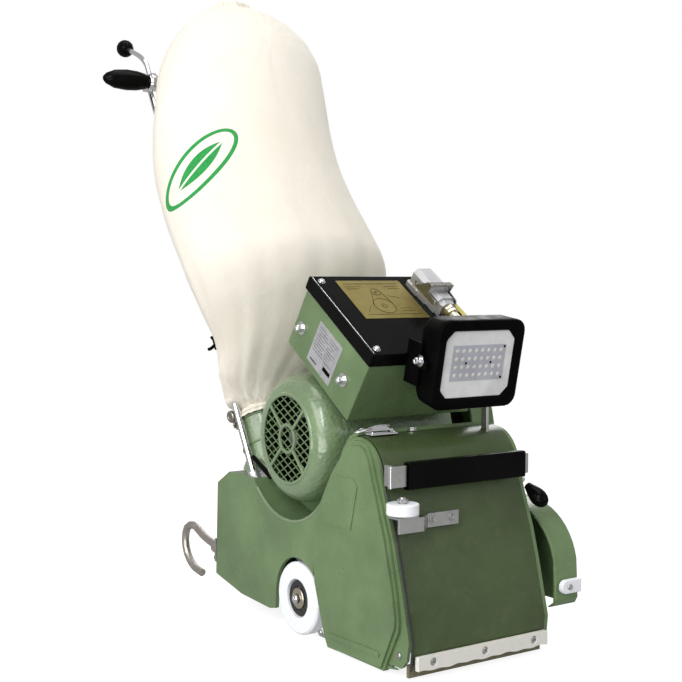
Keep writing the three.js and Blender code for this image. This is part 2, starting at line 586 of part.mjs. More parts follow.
function connector() {
  const z = BOX.height + 20.3;
  const body = cut(box(48, 82, 76, 150, z + 7, z + 31), box(46, 84, 140, 151, z + 24, z + 32));
  const gland = cut(cylinderY(11, 40, 75.7, 65, z + 18, 6), cylinderY(7, 39, 66, 65, z + 18, 16));
  const arms = [[43, 45.6], [84.4, 87]].flatMap(([x0, x1]) =>
    [box(x0, x1, 84, 140, z + 12, z + 22), box(x0, x1, 134, 140, z + 20, z + 35)]);
  const latch = join(box(43, 87, 134, 140, z + 32.4, z + 35), ...arms);
  return [
    part('connector_hood', join(body, box(46, 84, 76, 156, z, z + 7.5)), lacquer(0xa7a9ab, 0.4, 0.7)),
    part('connector_gland', gland, lacquer(0xd8d2c4, 0.4, 0.5)),
    part('connector_latch', latch, steel()),
  ];
}

function controlBox() {
  const { length, height, near, far } = BOX;
  const group = new THREE.Group();
  group.position.set(0, BOX.y, BOX.z);
  group.rotation.x = THREE.MathUtils.degToRad(BOX.tilt);
  const tilt = THREE.MathUtils.degToRad(BOX.tilt);
  const dy = MOTOR.y - BOX.y;
  const dz = MOTOR.z - BOX.z;
  const motorY = dy * Math.cos(tilt) + dz * Math.sin(tilt);
  const motorZ = -dy * Math.sin(tilt) + dz * Math.cos(tilt);
  const foot = cut(box(-60, 60, motorY - 42, motorY + 42, -30, 1),
    cylinderX(MOTOR.r + 0.8, -61, 61, motorY, motorZ, 40));
  const tray = join(foot,
    cut(box(near, far, 0, length, 0, height), box(near + 3, far - 3, 3, length - 3, 3, height + 1)));
  const lid = cut(box(near - 3, far + 3, -3, length + 3, height + GAP, height + 20),
    box(near + 1, far - 1, 2, length - 2, height - 1, height + 16));
  group.add(
    part('control_box_tray', tray, green()),
    part('control_box_lid', lid, blackPlastic()),
    part('main_switch', join(cylinderY(24, length + GAP, length + 6, -30, 46, 28),
      box(-36, -24, length + 4, length + 20, 26, 66)), lacquer(0x1d1d1d, 0.5, 0)),
    ...connector(),
  );
  return group;
}

// --- work lamp: Z is up its face, -Y is where it shines -------------------------------------------

function workLamp() {
  const { width, height, depth, corner, chamfer } = LAMP;
  const [w, h] = [width / 2, height / 2];
  const [openW, openH] = [w - LAMP.rim[0], h - LAMP.rim[1]];
  const group = new THREE.Group();
  group.position.set(LAMP.x, LAMP.y, LAMP.z);
  group.rotation.x = THREE.MathUtils.degToRad(LAMP.tilt);
  const chamfered = (dx, dz, c) => [[-dx + c, -dz], [dx - c, -dz], [dx, -dz + c], [dx, dz - c],
    [dx - c, dz], [-dx + c, dz], [-dx, dz - c], [-dx, -dz + c]];
  const rounded = [[1, 1, 0], [-1, 1, 90], [-1, -1, 180], [1, -1, 270]].flatMap(([right, up, from]) =>
    arc(right * (w - corner), up * (h - corner), corner, from, from + 90, 5));
  const housing = cut(front(rounded, -depth / 2, depth / 2),
    front(chamfered(openW, openH, chamfer), -depth / 2 - 1, -depth / 2 + 12));
  const leg = (x0, x1) => box(x0, x1, -9, 28, -9, 3);
  group.add(
    part('lamp_housing', housing, blackPlastic()),
    part('lamp_lens', front(chamfered(openW - 1, openH - 1, chamfer), -depth / 2 + 4, -depth / 2 + 7),
      whiteNylon()),
    part('lamp_bracket', join(leg(-w - 6, -w - 2.5), leg(w + 2.5, w + 6),
      box(-w - 6, w + 6, 25, 28, -9, 3)), blackPlastic()),
  );
  return group;
}

// --- front handle, wall guide, latch and rear hook -------------------------------------------------

function frontFittings() {
  const [low, high] = HANDLE_Z;
  const core = join(box(-121, 108, 14.5, 18.5, low + 4, high - 4),
    box(-117, -111, 16, 36, low + 4, high - 4), box(102, 108, 16, 36, low + 4, high - 4));
  const sleeve = cut(box(-97, 100, 11, 22, low, high), box(-98, 101, 14.2, 18.8, low + 3.7, high - 3.7));
  const { x, y, z } = GUIDE;
  const plateTop = [[-123, -4], [-84, -4], [-66, 11], [-16, 11],
    [-16, 14], [-68, 14], [-86, -1], [-123, -1]];
  const plate = new THREE.ExtrudeGeometry(shapeOf(plateTop), { depth: 18, bevelEnabled: false })
    .translate(0, 0, 183);
  const bracket = join(plate, box(-123, -92, -4, 19, z - 5, z - 2), box(-62, -52, 13, 18.5, 189, 197),
    box(-30, -20, 13, 18.5, 189, 197), cylinderZ(4, z - 10, z + 22, x, y, 16),
    cylinderZ(8, z - 3, z - 1, x, y, 16), cylinderZ(7, z + 15, z + 20, x, y, 6));
  return [
    part('front_handle_core', core, steel()),
    part('front_handle_sleeve', sleeve, blackPlastic()),
    part('guide_bracket', bracket, steel()),
    part('guide_roller', cut(cylinderZ(GUIDE.r, GUIDE.z, GUIDE.z + 14, GUIDE.x, GUIDE.y, 32),
      cylinderZ(4.3, GUIDE.z - 1, GUIDE.z + 15, GUIDE.x, GUIDE.y, 20)), whiteNylon()),
    part('latch_base', box(-104, -62, 80, 96, 294.6, 297.2), steel()),
    part('latch_lever', join(box(-112, -70, 82, 94, 300, 302.5), cylinderY(2.5, 80, 96, -72, 300.2, 12)),
      steel()),
  ];
}

function rearHook() {
  const x = -100;
  const route = [[x, 477, 76], [x, 505, 77], [x, 540, 84], [x, 575, 96], [x, 598, 90], [x, 606, 70],
    [x, 600, 48], [x, 578, 30], [x, 548, 24]];
  return [
    part('rear_hook', join(bentRod(route, 6.2, 20, 10), cylinderY(11, 473.4, 500, x, 76, 16),
      box(x - 16, x + 16, 473.4, 478, 58, 94)), steel()),
  ];
}

const machine = new THREE.Group();
machine.add(...castings(), ...sandingDrive(), ...tensionLever(), ...motorAndFan(), ...runningGear(),
  guideColumn(), controlBox(), workLamp(), ...frontFittings(), ...rearHook());

// The origin is on the floor, under the middle of the machine's bounding box.
machine.updateMatrixWorld(true);
const bounds = new THREE.Box3().setFromObject(machine, true);
machine.position.set(-(bounds.min.x + bounds.max.x) / 2, -(bounds.min.y + bounds.max.y) / 2, -bounds.min.z);

const assembly = new THREE.Group();
assembly.add(machine);

export default assembly;
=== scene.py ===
# Looks of the belt drum sander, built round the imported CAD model. Lengths are in mm until MM scales them.
import json
from math import atan2, cos, exp, pi, radians, sin, sqrt

import bmesh
import bpy
from mathutils import Matrix, Vector
from mathutils.bvhtree import BVHTree


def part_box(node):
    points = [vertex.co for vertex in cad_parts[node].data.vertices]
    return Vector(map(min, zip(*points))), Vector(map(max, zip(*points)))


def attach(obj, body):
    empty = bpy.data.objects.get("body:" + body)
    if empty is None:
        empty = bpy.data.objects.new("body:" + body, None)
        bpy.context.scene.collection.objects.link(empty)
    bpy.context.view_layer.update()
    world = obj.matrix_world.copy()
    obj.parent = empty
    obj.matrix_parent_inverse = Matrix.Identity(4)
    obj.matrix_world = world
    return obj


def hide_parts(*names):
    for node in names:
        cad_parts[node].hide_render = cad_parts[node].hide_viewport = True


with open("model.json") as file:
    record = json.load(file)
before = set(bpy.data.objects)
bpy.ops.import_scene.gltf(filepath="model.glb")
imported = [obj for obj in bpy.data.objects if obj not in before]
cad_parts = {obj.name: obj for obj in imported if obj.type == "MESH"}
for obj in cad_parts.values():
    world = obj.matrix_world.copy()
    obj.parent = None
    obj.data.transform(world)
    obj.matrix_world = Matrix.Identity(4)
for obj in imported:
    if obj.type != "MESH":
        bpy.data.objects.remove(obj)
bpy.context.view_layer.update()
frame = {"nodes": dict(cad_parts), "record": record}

MM = 0.001

# The machine's own zero, on the floor below the front strip, from the drum's place in the CAD model.
DRUM_AXIS = Vector((0, 99, 93))
low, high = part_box("sanding_drum")
ZERO = (low + high) / 2 - DRUM_AXIS * MM


def at(x, y, z):
    return ZERO + Vector((x, y, z)) * MM


def shift(x, y, z):
    return Matrix.Translation(Vector((x, y, z)) * MM)


def spin(degrees, axis):
    return Matrix.Rotation(radians(degrees), 4, axis)


# --- placing frames and the main sizes ---

NEAR, FAR, FRONT, BACK, UP = (-1, 0, 0), (1, 0, 0), (0, -1, 0), (0, 1, 0), (0, 0, 1)

# The (y, z) of two axes across the machine, the cradle's radius, the lid's height and the lamp's size.
MOTOR_AXIS = (265, 272)
CRADLE_R = 115
WHEEL_AXIS = (239, 51)
LID_TOP = 111
LAMP_SIZE = (144, 120, 46)

COLUMN_LEAN = 29.4
BOX_TILT = 33.9
LAMP_TILT = 12
MACHINE = Matrix.Translation(ZERO)
COLUMN = Matrix.Translation(at(0, 363, 205)) @ spin(-COLUMN_LEAN, "X")
TRAY = Matrix.Translation(at(0, 140, 308)) @ spin(BOX_TILT, "X")
LAMP = Matrix.Translation(at(30, 48, 389)) @ spin(LAMP_TILT, "X")


def mesh_of(name, points, faces):
    mesh = bpy.data.meshes.new(name)
    mesh.from_pydata(points, [], faces)
    return mesh


def into_scene(name, data):
    made = bpy.data.objects.new(name, data)
    bpy.context.scene.collection.objects.link(made)
    return made


# --- camera and light ---

# The camera's place in mm and its turns in degrees, solved from the photo. The lens is in mm.
CAMERA = {"place": (-1045.3, -1220.9, 500), "yaw": 34.47, "pitch": 2.97, "roll": 0.09, "lens": 66.3}
SKY_LIGHT = 0.46
FLOOR_GLOW = 0.86


def aimed(place, direction):
    """The matrix of a camera or a light at a place, looking in that direction."""
    return Matrix.Translation(place) @ direction.to_track_quat("-Z", "Y").to_matrix().to_4x4()


def make_camera():
    data = bpy.data.cameras.new("photo_camera")
    data.lens = CAMERA["lens"]
    data.sensor_width = 36
    data.clip_start = 0.05
    camera = into_scene("photo_camera", data)
    yaw, pitch = radians(CAMERA["yaw"]), radians(CAMERA["pitch"])
    forward = Vector((sin(yaw) * cos(pitch), cos(yaw) * cos(pitch), -sin(pitch)))
    camera.matrix_world = aimed(at(*CAMERA["place"]), forward) @ spin(CAMERA["roll"], "Z")
    bpy.context.scene.camera = camera


def area_light(name, place, target, size, power):
    data = bpy.data.lights.new(name, "AREA")
    data.shape = "RECTANGLE"
    data.size = size[0]
    data.size_y = size[1]
    data.energy = power
    into_scene(name, data).matrix_world = aimed(place, target - place)


def make_lights():
    """A white backdrop that lights the object less than it shows, and six soft lamps."""
    world = bpy.data.worlds.new("studio")
    world.use_nodes = True
    nodes = world.node_tree.nodes
    background = nodes["Background"]
    seen = nodes.new("ShaderNodeBackground")
    for shader, strength in ((background, SKY_LIGHT), (seen, 1.0)):
        shader.inputs["Color"].default_value = (1, 1, 1, 1)
        shader.inputs["Strength"].default_value = strength
    rays = nodes.new("ShaderNodeLightPath")
    both = nodes.new("ShaderNodeMixShader")
    join = world.node_tree.links.new
    join(rays.outputs["Is Camera Ray"], both.inputs["Fac"])
    join(background.outputs["Background"], both.inputs[1])
    join(seen.outputs["Background"], both.inputs[2])
    join(both.outputs["Shader"], nodes["World Output"].inputs["Surface"])
    bpy.context.scene.world = world
    bpy.context.scene.view_settings.view_transform = "Standard"
    middle = at(0, 300, 400)
    for name, place, target, size, power in (
        ("key", (-2100, -150, 1250), middle, (1.6, 1.4), 21),
        ("strip", (-1500, -900, 1500), middle, (0.35, 1.3), 15),
        ("fill", (700, -2200, 1100), middle, (1.4, 1.4), 6.5),
        ("top", (100, 200, 2400), middle, (1.6, 1.6), 18),
        ("low", (-1500, -350, 60), at(-100, 300, 450), (1.4, 0.5), 10),
        ("back", (1500, 1700, 1300), middle, (1.2, 1.2), 14),
    ):
        area_light(name, at(*place), target, size, power)


# --- materials ---


class Nodes:
    """A small helper that adds and joins shader nodes in one material."""

    def __init__(self, name, **principled):
        self.material = bpy.data.materials.new(name)
        self.material.use_nodes = True
        self.tree = self.material.node_tree
        self.shader = self.tree.nodes["Principled BSDF"]
        for key, value in principled.items():
            self.shader.inputs[key.replace("_", " ")].default_value = value
        self.place = self.add("TexCoord").outputs["Object"]

    def add(self, kind, inputs=None, **settings):
        node = self.tree.nodes.new("ShaderNode" + kind)
        for key, value in settings.items():
            setattr(node, key, value)
        for key, value in (inputs or {}).items():
            node.inputs[key].default_value = value
        return node

    def link(self, source, target):
        self.tree.links.new(source, target)

    def fill(self, socket, value):
        """A number, a colour or another node's output goes into that socket."""
        if isinstance(value, (int, float)):
            socket.default_value = value
        elif isinstance(value, tuple):
            socket.default_value = (*value, 1)
        else:
            self.link(value, socket)

    def noise(self, scale, detail=4, rough=0.55, stretch=None):
        node = self.add("TexNoise", {"Scale": scale, "Detail": detail, "Roughness": rough})
        self.link(self.stretched(stretch) if stretch else self.place, node.inputs["Vector"])
        return node.outputs["Fac"]

    def stretched(self, stretch):
        node = self.add("Mapping", {"Scale": stretch})
        self.link(self.place, node.inputs["Vector"])
        return node.outputs["Vector"]

    def ramp(self, source, low=0, high=1, start=0.35, end=0.65):
        node = self.add("MapRange", {"From Min": start, "From Max": end, "To Min": low, "To Max": high})
        self.link(source, node.inputs["Value"])
        return node.outputs["Result"]

    def mix(self, factor, a, b):
        node = self.add("Mix", data_type="RGBA")
        self.link(factor, node.inputs["Factor"])
        self.fill(node.inputs["A"], a)
        self.fill(node.inputs["B"], b)
        return node.outputs["Result"]

    def math(self, operation, a, b=0.5):
        node = self.add("Math", operation=operation)
        self.fill(node.inputs[0], a)
        self.fill(node.inputs[1], b)
        return node.outputs[0]

    def weave(self, pitch, distortion):
        """Threads that cross: two sets of bands, multiplied."""
        threads = []
        for direction in ("X", "Z"):
            wave = self.add("TexWave", {"Scale": pitch, "Distortion": distortion, "Detail": 2},
                            wave_type="BANDS", bands_direction=direction)
            self.link(self.place, wave.inputs["Vector"])
            threads.append(wave.outputs["Fac"])
        return self.math("MULTIPLY", *threads)

    def color(self, source):
        self.link(source, self.shader.inputs["Base Color"])

    def roughness(self, source):
        self.link(source, self.shader.inputs["Roughness"])

    def bump(self, source, strength, distance):
        node = self.add("Bump", {"Strength": strength, "Distance": distance})
        previous = self.shader.inputs["Normal"].links
        if previous:
            self.link(previous[0].from_socket, node.inputs["Normal"])
        self.link(source, node.inputs["Height"])
        self.link(node.outputs["Normal"], self.shader.inputs["Normal"])


def scaled(color, by, more=0):
    return tuple(min(1, c * by + more) for c in color)


def enamel(name, color, hammer, gloss=0.18, shine=0.32):
    m = Nodes(name, Roughness=0.3, Specular_IOR_Level=shine, Coat_Weight=gloss, Coat_Roughness=0.14)
    dark = scaled(color, 0.82)
    light = scaled(color, 1.12)
    patches = m.mix(m.ramp(m.noise(9, 3)), dark, light)
    dust = m.ramp(m.noise(46, 8, 0.7), 0, 0.07, 0.52, 0.75)
    m.color(m.mix(dust, patches, (0.36, 0.36, 0.28)))
    m.roughness(m.ramp(m.noise(28, 5), 0.24, 0.42))
    if hammer:
        cells = m.add("TexVoronoi", {"Scale": 210}, feature="SMOOTH_F1")
        m.link(m.place, cells.inputs["Vector"])
        m.bump(cells.outputs["Distance"], hammer, 0.0012)
    m.bump(m.noise(320, 3), 0.12, 0.0006)
    m.bump(m.noise(30, 2), 0.18, 0.002)
    return m.material


def metal(name, color, rough, stretch=(1, 1, 1), grain=260, wear=0.5):
    m = Nodes(name, Metallic=1.0)
    dark = scaled(color, 1 - 0.28 * wear)
    m.color(m.mix(m.ramp(m.noise(60, 5)), dark, color))
    lines = m.noise(grain, 4, 0.6, stretch)
    m.roughness(m.ramp(lines, rough * 0.75, rough * 1.35))
    m.bump(lines, 0.12, 0.0004)
    return m.material


def plastic(name, color, rough, grain=700, strength=0.12, coat=0.0, shine=0.5):
    m = Nodes(name, Specular_IOR_Level=shine, Coat_Weight=coat, Coat_Roughness=0.06)
    light = scaled(color, 1.3, 0.001)
    m.color(m.mix(m.ramp(m.noise(24, 6), 0, 1, 0.4, 0.75), color, light))
    m.roughness(m.ramp(m.noise(50, 6), rough * 0.8, rough * 1.3))
    m.bump(m.noise(grain, 3), strength, 0.0005)
    return m.material


def nylon(name, color):
    m = Nodes(name, Subsurface_Weight=0.08, Subsurface_Scale=0.004)
    grey = scaled(color, 0.86)
    scuffs = m.ramp(m.noise(85, 7, 0.7), 0, 0.55, 0.55, 0.75)
    m.color(m.mix(scuffs, color, grey))
    m.roughness(m.ramp(m.noise(40, 5), 0.3, 0.5))
    m.bump(m.noise(160, 4), 0.15, 0.0008)
    return m.material


def cloth(name, color, pitch, depth=0.35):
    m = Nodes(name, Roughness=0.92, Sheen_Weight=0.25, Sheen_Roughness=0.5)
    weave = m.weave(pitch, 0.6)
    soft = m.mix(m.ramp(m.noise(7, 5), 0, 1, 0.35, 0.7), color, scaled(color, 0.93))
    m.color(m.mix(m.ramp(weave, 0, 0.2, 0, 0.6), soft, scaled(color, 0.84)))
    m.bump(weave, depth, 0.0004)
    m.bump(m.noise(55, 6, 0.6), 0.3, 0.002)
    m.bump(m.noise(11, 3), 0.35, 0.01)
    return m.material


def abrasive(name):
    m = Nodes(name, Roughness=0.95)
    grit = m.noise(1500, 2)
    m.color(m.mix(m.ramp(grit), (0.10, 0.05, 0.035), (0.30, 0.19, 0.13)))
    m.bump(grit, 0.8, 0.0006)
    return m.material


def felt(name, color):
    m = Nodes(name, Roughness=1.0, Sheen_Weight=0.3)
    fibres = m.noise(900, 6, 0.7)
    m.color(m.mix(m.ramp(fibres), scaled(color, 0.6), color))
    m.bump(fibres, 0.7, 0.001)
    return m.material


def bag_canvas():
    """Cream cotton twill with a green printed mark: an oval ring round a leaf, of no one's design."""
    m = Nodes("bag_canvas", Roughness=0.93, Sheen_Weight=0.2, Sheen_Roughness=0.5)
    weave = m.weave(520, 0.7)
    cream = m.mix(m.ramp(m.noise(5, 5), 0, 1, 0.35, 0.7), (0.83, 0.785, 0.70), (0.80, 0.745, 0.64))
    slubs = m.ramp(m.noise(160, 4, 0.7, (1, 1, 0.08)), 0, 0.35, 0.55, 0.8)
    cream = m.mix(slubs, cream, (0.80, 0.72, 0.58))
    cream = m.mix(m.ramp(weave, 0, 0.16, 0, 0.6), cream, (0.70, 0.62, 0.48))
    middle = COLUMN @ (Vector((-172, -177, 431)) * MM)
    along = COLUMN.to_3x3() @ Vector((0.66, -0.47, 0.585)).normalized()
    outward = COLUMN.to_3x3() @ Vector((-0.587, -0.81, 0)).normalized()
    upward = outward.cross(along).normalized()
    offset = m.add("VectorMath", {1: middle}, operation="SUBTRACT")
    m.link(m.place, offset.inputs[0])
    axes = []
    for axis in (along, upward, outward):
        dot = m.add("VectorMath", {1: axis}, operation="DOT_PRODUCT")
        m.link(offset.outputs["Vector"], dot.inputs[0])
        axes.append(dot.outputs["Value"])
    p, q, depth = axes

    def squared(value, half):
        return m.math("POWER", m.math("ABSOLUTE", m.math("DIVIDE", value, half)), 2)

    def oval(half_long, half_high):
        return m.math("LESS_THAN", m.math("ADD", squared(p, half_long), squared(q, half_high)), 1)

    ring = m.math("SUBTRACT", oval(0.078, 0.031), oval(0.071, 0.025))
    edge = m.math("MULTIPLY", m.math("SUBTRACT", 1, squared(p, 0.052)), 0.014)
    leaf = m.math("LESS_THAN", m.math("ABSOLUTE", q), edge)
    rib = m.math("GREATER_THAN", m.math("ABSOLUTE", q), 0.0016)
    print_on = m.math("MAXIMUM", ring, m.math("MULTIPLY", leaf, rib))
    print_on = m.math("MULTIPLY", print_on, m.math("GREATER_THAN", depth, -0.07))
    ink = m.mix(m.ramp(m.noise(300, 4)), (0.010, 0.25, 0.045), (0.018, 0.33, 0.07))
    m.color(m.mix(print_on, cream, ink))
    m.bump(weave, 0.3, 0.0004)
    m.bump(m.noise(55, 6, 0.6), 0.25, 0.002)
    m.bump(m.noise(13, 4), 0.4, 0.008)
    return m.material


GREEN = (0.140, 0.214, 0.097)
# The front paint has its own slot and a fainter hammer, but its tone is the body green darkened to about 40
# %: painted shade on the front-facing pieces.
FRONT_GREEN_SHADED = (0.058, 0.088, 0.032)

FINISH = {
    "green_paint": enamel("green_enamel", GREEN, 0.35),
    # a darker copy of the green enamel, its darkness painted shade
    "front_green_paint": enamel("front_enamel_shaded", FRONT_GREEN_SHADED, 0.12),
    "machined_steel": metal("machined_steel", (0.55, 0.55, 0.54), 0.34, (1, 1, 8)),
    "chromed_steel": metal("chromed_steel", (0.78, 0.78, 0.79), 0.14, (1, 1, 4), wear=0.25),
    "cast_aluminium": metal("cast_aluminium", (0.66, 0.66, 0.67), 0.45, grain=500),
    "black_plastic": plastic("black_moulding", (0.002, 0.002, 0.0018), 0.18, coat=0.03, shine=0.05),
    "matt_black": plastic("matt_moulding", (0.002, 0.002, 0.002), 0.4, 420, 0.3, shine=0.02),
    "white_nylon": nylon("white_nylon", (0.90, 0.92, 0.97)),
    "drum_rubber": plastic("drum_rubber", (0.03, 0.026, 0.024), 0.8, 300, 0.3),
    "caster_rubber": plastic("caster_rubber", (0.025, 0.025, 0.025), 0.75, 300, 0.3),
    "brown_felt": felt("brown_felt", (0.21, 0.19, 0.11)),
    "abrasive": abrasive("abrasive_cloth"),
    "v_belt_rubber": plastic("v_belt_rubber", (0.02, 0.02, 0.02), 0.8, 900, 0.4),
    "copper_windings": metal("copper_windings", (0.60, 0.30, 0.14), 0.4, (8, 1, 1)),
    "dark_iron": metal("dark_iron", (0.12, 0.12, 0.125), 0.5, grain=380),
    "cotton_cloth": cloth("cotton_twill", (0.86, 0.80, 0.66), 620),
    "lamp_glass": plastic("lamp_cover", (0.66, 0.67, 0.66), 0.25, 200, 0.03),
}


# Finishes used on single pieces: a material, and the record's slot that it belongs to.
STEEL = "machined_steel"
CHROME = "chromed_steel"
BLACK = "black_plastic"
MATT = "matt_black"
PAINT = "green_paint"
ALUMINIUM = "cast_aluminium"
GLOSS = (enamel("motor_enamel", (0.170, 0.250, 0.125), 0.8, 1.0, 0.55), PAINT)
HOOK_STEEL = (metal("dull_steel", (0.50, 0.46, 0.42), 0.42, grain=200), STEEL)
FOIL = (metal("brushed_foil", (0.72, 0.72, 0.74), 0.5, (30, 1, 1), 300), ALUMINIUM)
BRASS = (metal("brass_foil", (0.31, 0.25, 0.075), 0.36, (30, 1, 1), 260), ALUMINIUM)
BRASS_LIGHT = (metal("plated_brass", (0.74, 0.68, 0.50), 0.28, grain=300), ALUMINIUM)
ZINC = (metal("yellow_zinc", (0.56, 0.51, 0.40), 0.3, grain=300), ALUMINIUM)
DARK_STEEL = (metal("dark_clip_steel", (0.36, 0.35, 0.31), 0.3, grain=300), CHROME)
BRONZE = (metal("aged_zinc", (0.34, 0.32, 0.27), 0.42, grain=300), "dark_iron")
CREAM = (nylon("cream_strip", (0.80, 0.785, 0.72)), "white_nylon")
YELLOW = (plastic("yellow_strip", (0.62, 0.52, 0.10), 0.4, 300), "white_nylon")
WINDOW = (plastic("led_board", (0.40, 0.40, 0.45), 0.3, 200, 0.05), "lamp_glass")
LED = (plastic("led_lens", (0.60, 0.60, 0.56), 0.2, 200, 0.05), "lamp_glass")
CANVAS = (bag_canvas(), "cotton_cloth")
OWN_FINISH = {"motor_frame": GLOSS, "suction_duct": GLOSS, "rear_hook": HOOK_STEEL}


def make_floor():
    reach = 6
    corners = [(-reach, -reach, 0), (reach, -reach, 0), (reach, reach, 0), (-reach, reach, 0)]
    floor = into_scene("floor", mesh_of("floor", corners, [(0, 1, 2, 3)]))
    m = Nodes("pale_floor", Roughness=1.0, Specular_IOR_Level=0.0, Emission_Strength=FLOOR_GLOW)
    m.shader.inputs["Emission Color"].default_value = (1, 1, 1, 1)
    m.color(m.mix(m.ramp(m.noise(3, 4)), (0.30, 0.30, 0.30), (0.34, 0.34, 0.34)))
    floor.data.materials.append(m.material)
    floor.visible_diffuse = False
    floor.visible_glossy = False


# --- making pieces ---


def new_piece(name, mesh, finish, body, nodes=(), smooth=35):
    """A finished piece, shaded smooth below that angle, riding on a body and standing for CAD nodes.

    The finish is the name of a slot in FINISH, or a pair of a material and the slot that it belongs to.
    """
    material, slot = (FINISH[finish], finish) if isinstance(finish, str) else finish
    mesh.polygons.foreach_set("use_smooth", [True] * len(mesh.polygons))
    mesh.set_sharp_from_angle(angle=radians(smooth))
    piece = into_scene(name, mesh)
    piece.data.materials.append(material)
    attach(piece, body)
    if nodes:
        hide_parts(*nodes)
    return piece


def as_modified(thing):
    """The mesh that a thing's modifiers make of it."""
    return bpy.data.meshes.new_from_object(thing.evaluated_get(bpy.context.evaluated_depsgraph_get()))


def bevel(piece, width, segments=3, angle=32):
    modifier = piece.modifiers.new("rounded_edges", "BEVEL")
    modifier.width = width * MM
    modifier.segments = segments
    modifier.limit_method = "ANGLE"
    modifier.angle_limit = radians(angle)
    modifier.harden_normals = True
    return piece


def body_of_node(node):
    return next(body for body, members in frame["record"]["behaviour"]["bodies"].items() if node in members)


def slot_of_node(node):
    return next(s["material_slot"] for s in frame["record"]["subparts"] if s["node"] == node)


def dressed(node, width, finish):
    """The CAD node's own shape with its flat faces merged and its edges rounded."""
    mesh = frame["nodes"][node].data.copy()
    mesh.materials.clear()
    work = bmesh.new()
    work.from_mesh(mesh)
    bmesh.ops.remove_doubles(work, verts=work.verts, dist=2e-6)
    bmesh.ops.dissolve_limit(work, angle_limit=radians(1.2), verts=work.verts, edges=work.edges)
    work.to_mesh(mesh)
    work.free()
    name = node + "_finished"
    clean = mesh_of(name, [v.co for v in mesh.vertices], [list(p.vertices) for p in mesh.polygons])
    bevel(new_piece(name, clean, finish, body_of_node(node), [node]), width)


def dress_cad():
    rounded = {
        "machine_housing": 4.0, "front_cover": 1.0, "side_lid": 3.2, "belt_guard": 4.0,
        "guard_buffer": 2.0, "front_seal_strip": 0.6, "motor_frame": 2.0, "tension_lever": 0.6,
        "wheel_near": 1.2, "wheel_far": 1.2, "caster_fork": 0.8, "caster_wheel": 1.0,
        "suction_duct": 0.8, "tube_socket": 1.5, "guide_tube": 1.0, "handle_bar": 0.8, "grip_near": 1.0,
        "grip_far": 1.0, "lift_rod": 0.5, "lift_link": 0.8, "lift_lever": 0.6, "control_box_tray": 3.0,
        "control_box_lid": 2.0, "main_switch": 1.5, "front_handle_core": 1.0,
        "front_handle_sleeve": 2.2, "guide_bracket": 0.7, "guide_roller": 1.2, "latch_base": 0.4,
        "latch_lever": 0.6, "rear_hook": 0.6, "lamp_lens": 0.8, "lamp_bracket": 0.8,
    }
    for node, width in rounded.items():
        dressed(node, width, OWN_FINISH.get(node, slot_of_node(node)))
    for node, obj in frame["nodes"].items():
        obj.data.materials.clear()
        obj.data.materials.append(FINISH[slot_of_node(node)])


# --- small solids ---


def frame_at(place, direction, base=MACHINE):
    """A frame at a place, in mm of the base frame, whose Z axis points in that direction."""
    turn = Vector(direction).normalized().to_track_quat("Z", "X").to_matrix().to_4x4()
    return base @ shift(*place) @ turn


def angles(count):
    return [2 * pi * k / count for k in range(count)]


def circle(r, count, x=0, y=0, z=0):
    return [(x + r * cos(t), y + r * sin(t), z) for t in angles(count)]


def tube_faces(rings, around, closed=False):
    """The faces between rings of points that follow one another."""
    faces = []
    for k in range(rings if closed else rings - 1):
        row, following = k * around, (k + 1) % rings * around
        faces += [(row + i, row + (i + 1) % around, following + (i + 1) % around, following + i)
                  for i in range(around)]
    return faces


class Build:
    """Gathers closed solids, each given in mm in its own frame, into one piece."""

    def __init__(self):
        self.points = []
        self.faces = []

    def add(self, base, points, faces):
        first = len(self.points)
        self.points += [base @ (Vector(p) * MM) for p in points]
        self.faces += [[first + i for i in face] for face in faces]
        return self

    def turned(self, base, profile, sides=32):
        """A profile of (height, radius) pairs turned about Z; it starts and ends on the axis, or closes."""
        ring = profile[0] == profile[-1]
        rows = profile[:-1] if ring else profile
        points = [(r * cos(t), r * sin(t), h) for h, r in rows
                  for t in angles(sides)]
        return self.add(base, points, tube_faces(len(rows), sides, ring))

    def prism(self, base, outline, low, high):
        """An outline of (x, y) pairs raised along Z from low to high."""
        n = len(outline)
        points = [(x, y, low) for x, y in outline] + [(x, y, high) for x, y in outline]
        faces = [tuple(range(n))[::-1], tuple(range(n, 2 * n))]
        faces += [(i, (i + 1) % n, n + (i + 1) % n, n + i) for i in range(n)]
        return self.add(base, points, faces)

    def block(self, base, x0, x1, y0, y1, z0, z1):
        return self.prism(base, [(x0, y0), (x1, y0), (x1, y1), (x0, y1)], z0, z1)

    def swept(self, base, path, radius, sides=12, closed=False):
        """A round wire along a path of points."""
        line = [Vector(p) for p in path]
        n = len(line)
        points = []
        normal = None
        for i, p in enumerate(line):
            ahead = line[(i + 1) % n] if closed or i + 1 < n else p
            behind = line[i - 1] if closed or i else p
            along = (ahead - behind).normalized()
            if normal is None:
                normal = along.orthogonal().normalized()
            normal = (normal - along * normal.dot(along)).normalized()
            across = along.cross(normal)
            points += [p + (normal * cos(t) + across * sin(t)) * radius
                       for t in angles(sides)]
        faces = tube_faces(n, sides, closed)
        if not closed:
            faces += [tuple(range(sides))[::-1], tuple((n - 1) * sides + k for k in range(sides))]
        return self.add(base, points, faces)

    def piece(self, name, finish, body="machine", nodes=(), rounding=0.0, smooth=35):
        mesh = mesh_of(name, self.points, self.faces)
        work = bmesh.new()
        work.from_mesh(mesh)
        bmesh.ops.remove_doubles(work, verts=work.verts, dist=1e-6)
        bmesh.ops.dissolve_degenerate(work, edges=work.edges, dist=1e-6)
        bmesh.ops.recalc_face_normals(work, faces=work.faces)
        work.to_mesh(mesh)
        work.free()
        made = new_piece(name, mesh, finish, body, nodes, smooth)
        return bevel(made, rounding, 2) if rounding else made


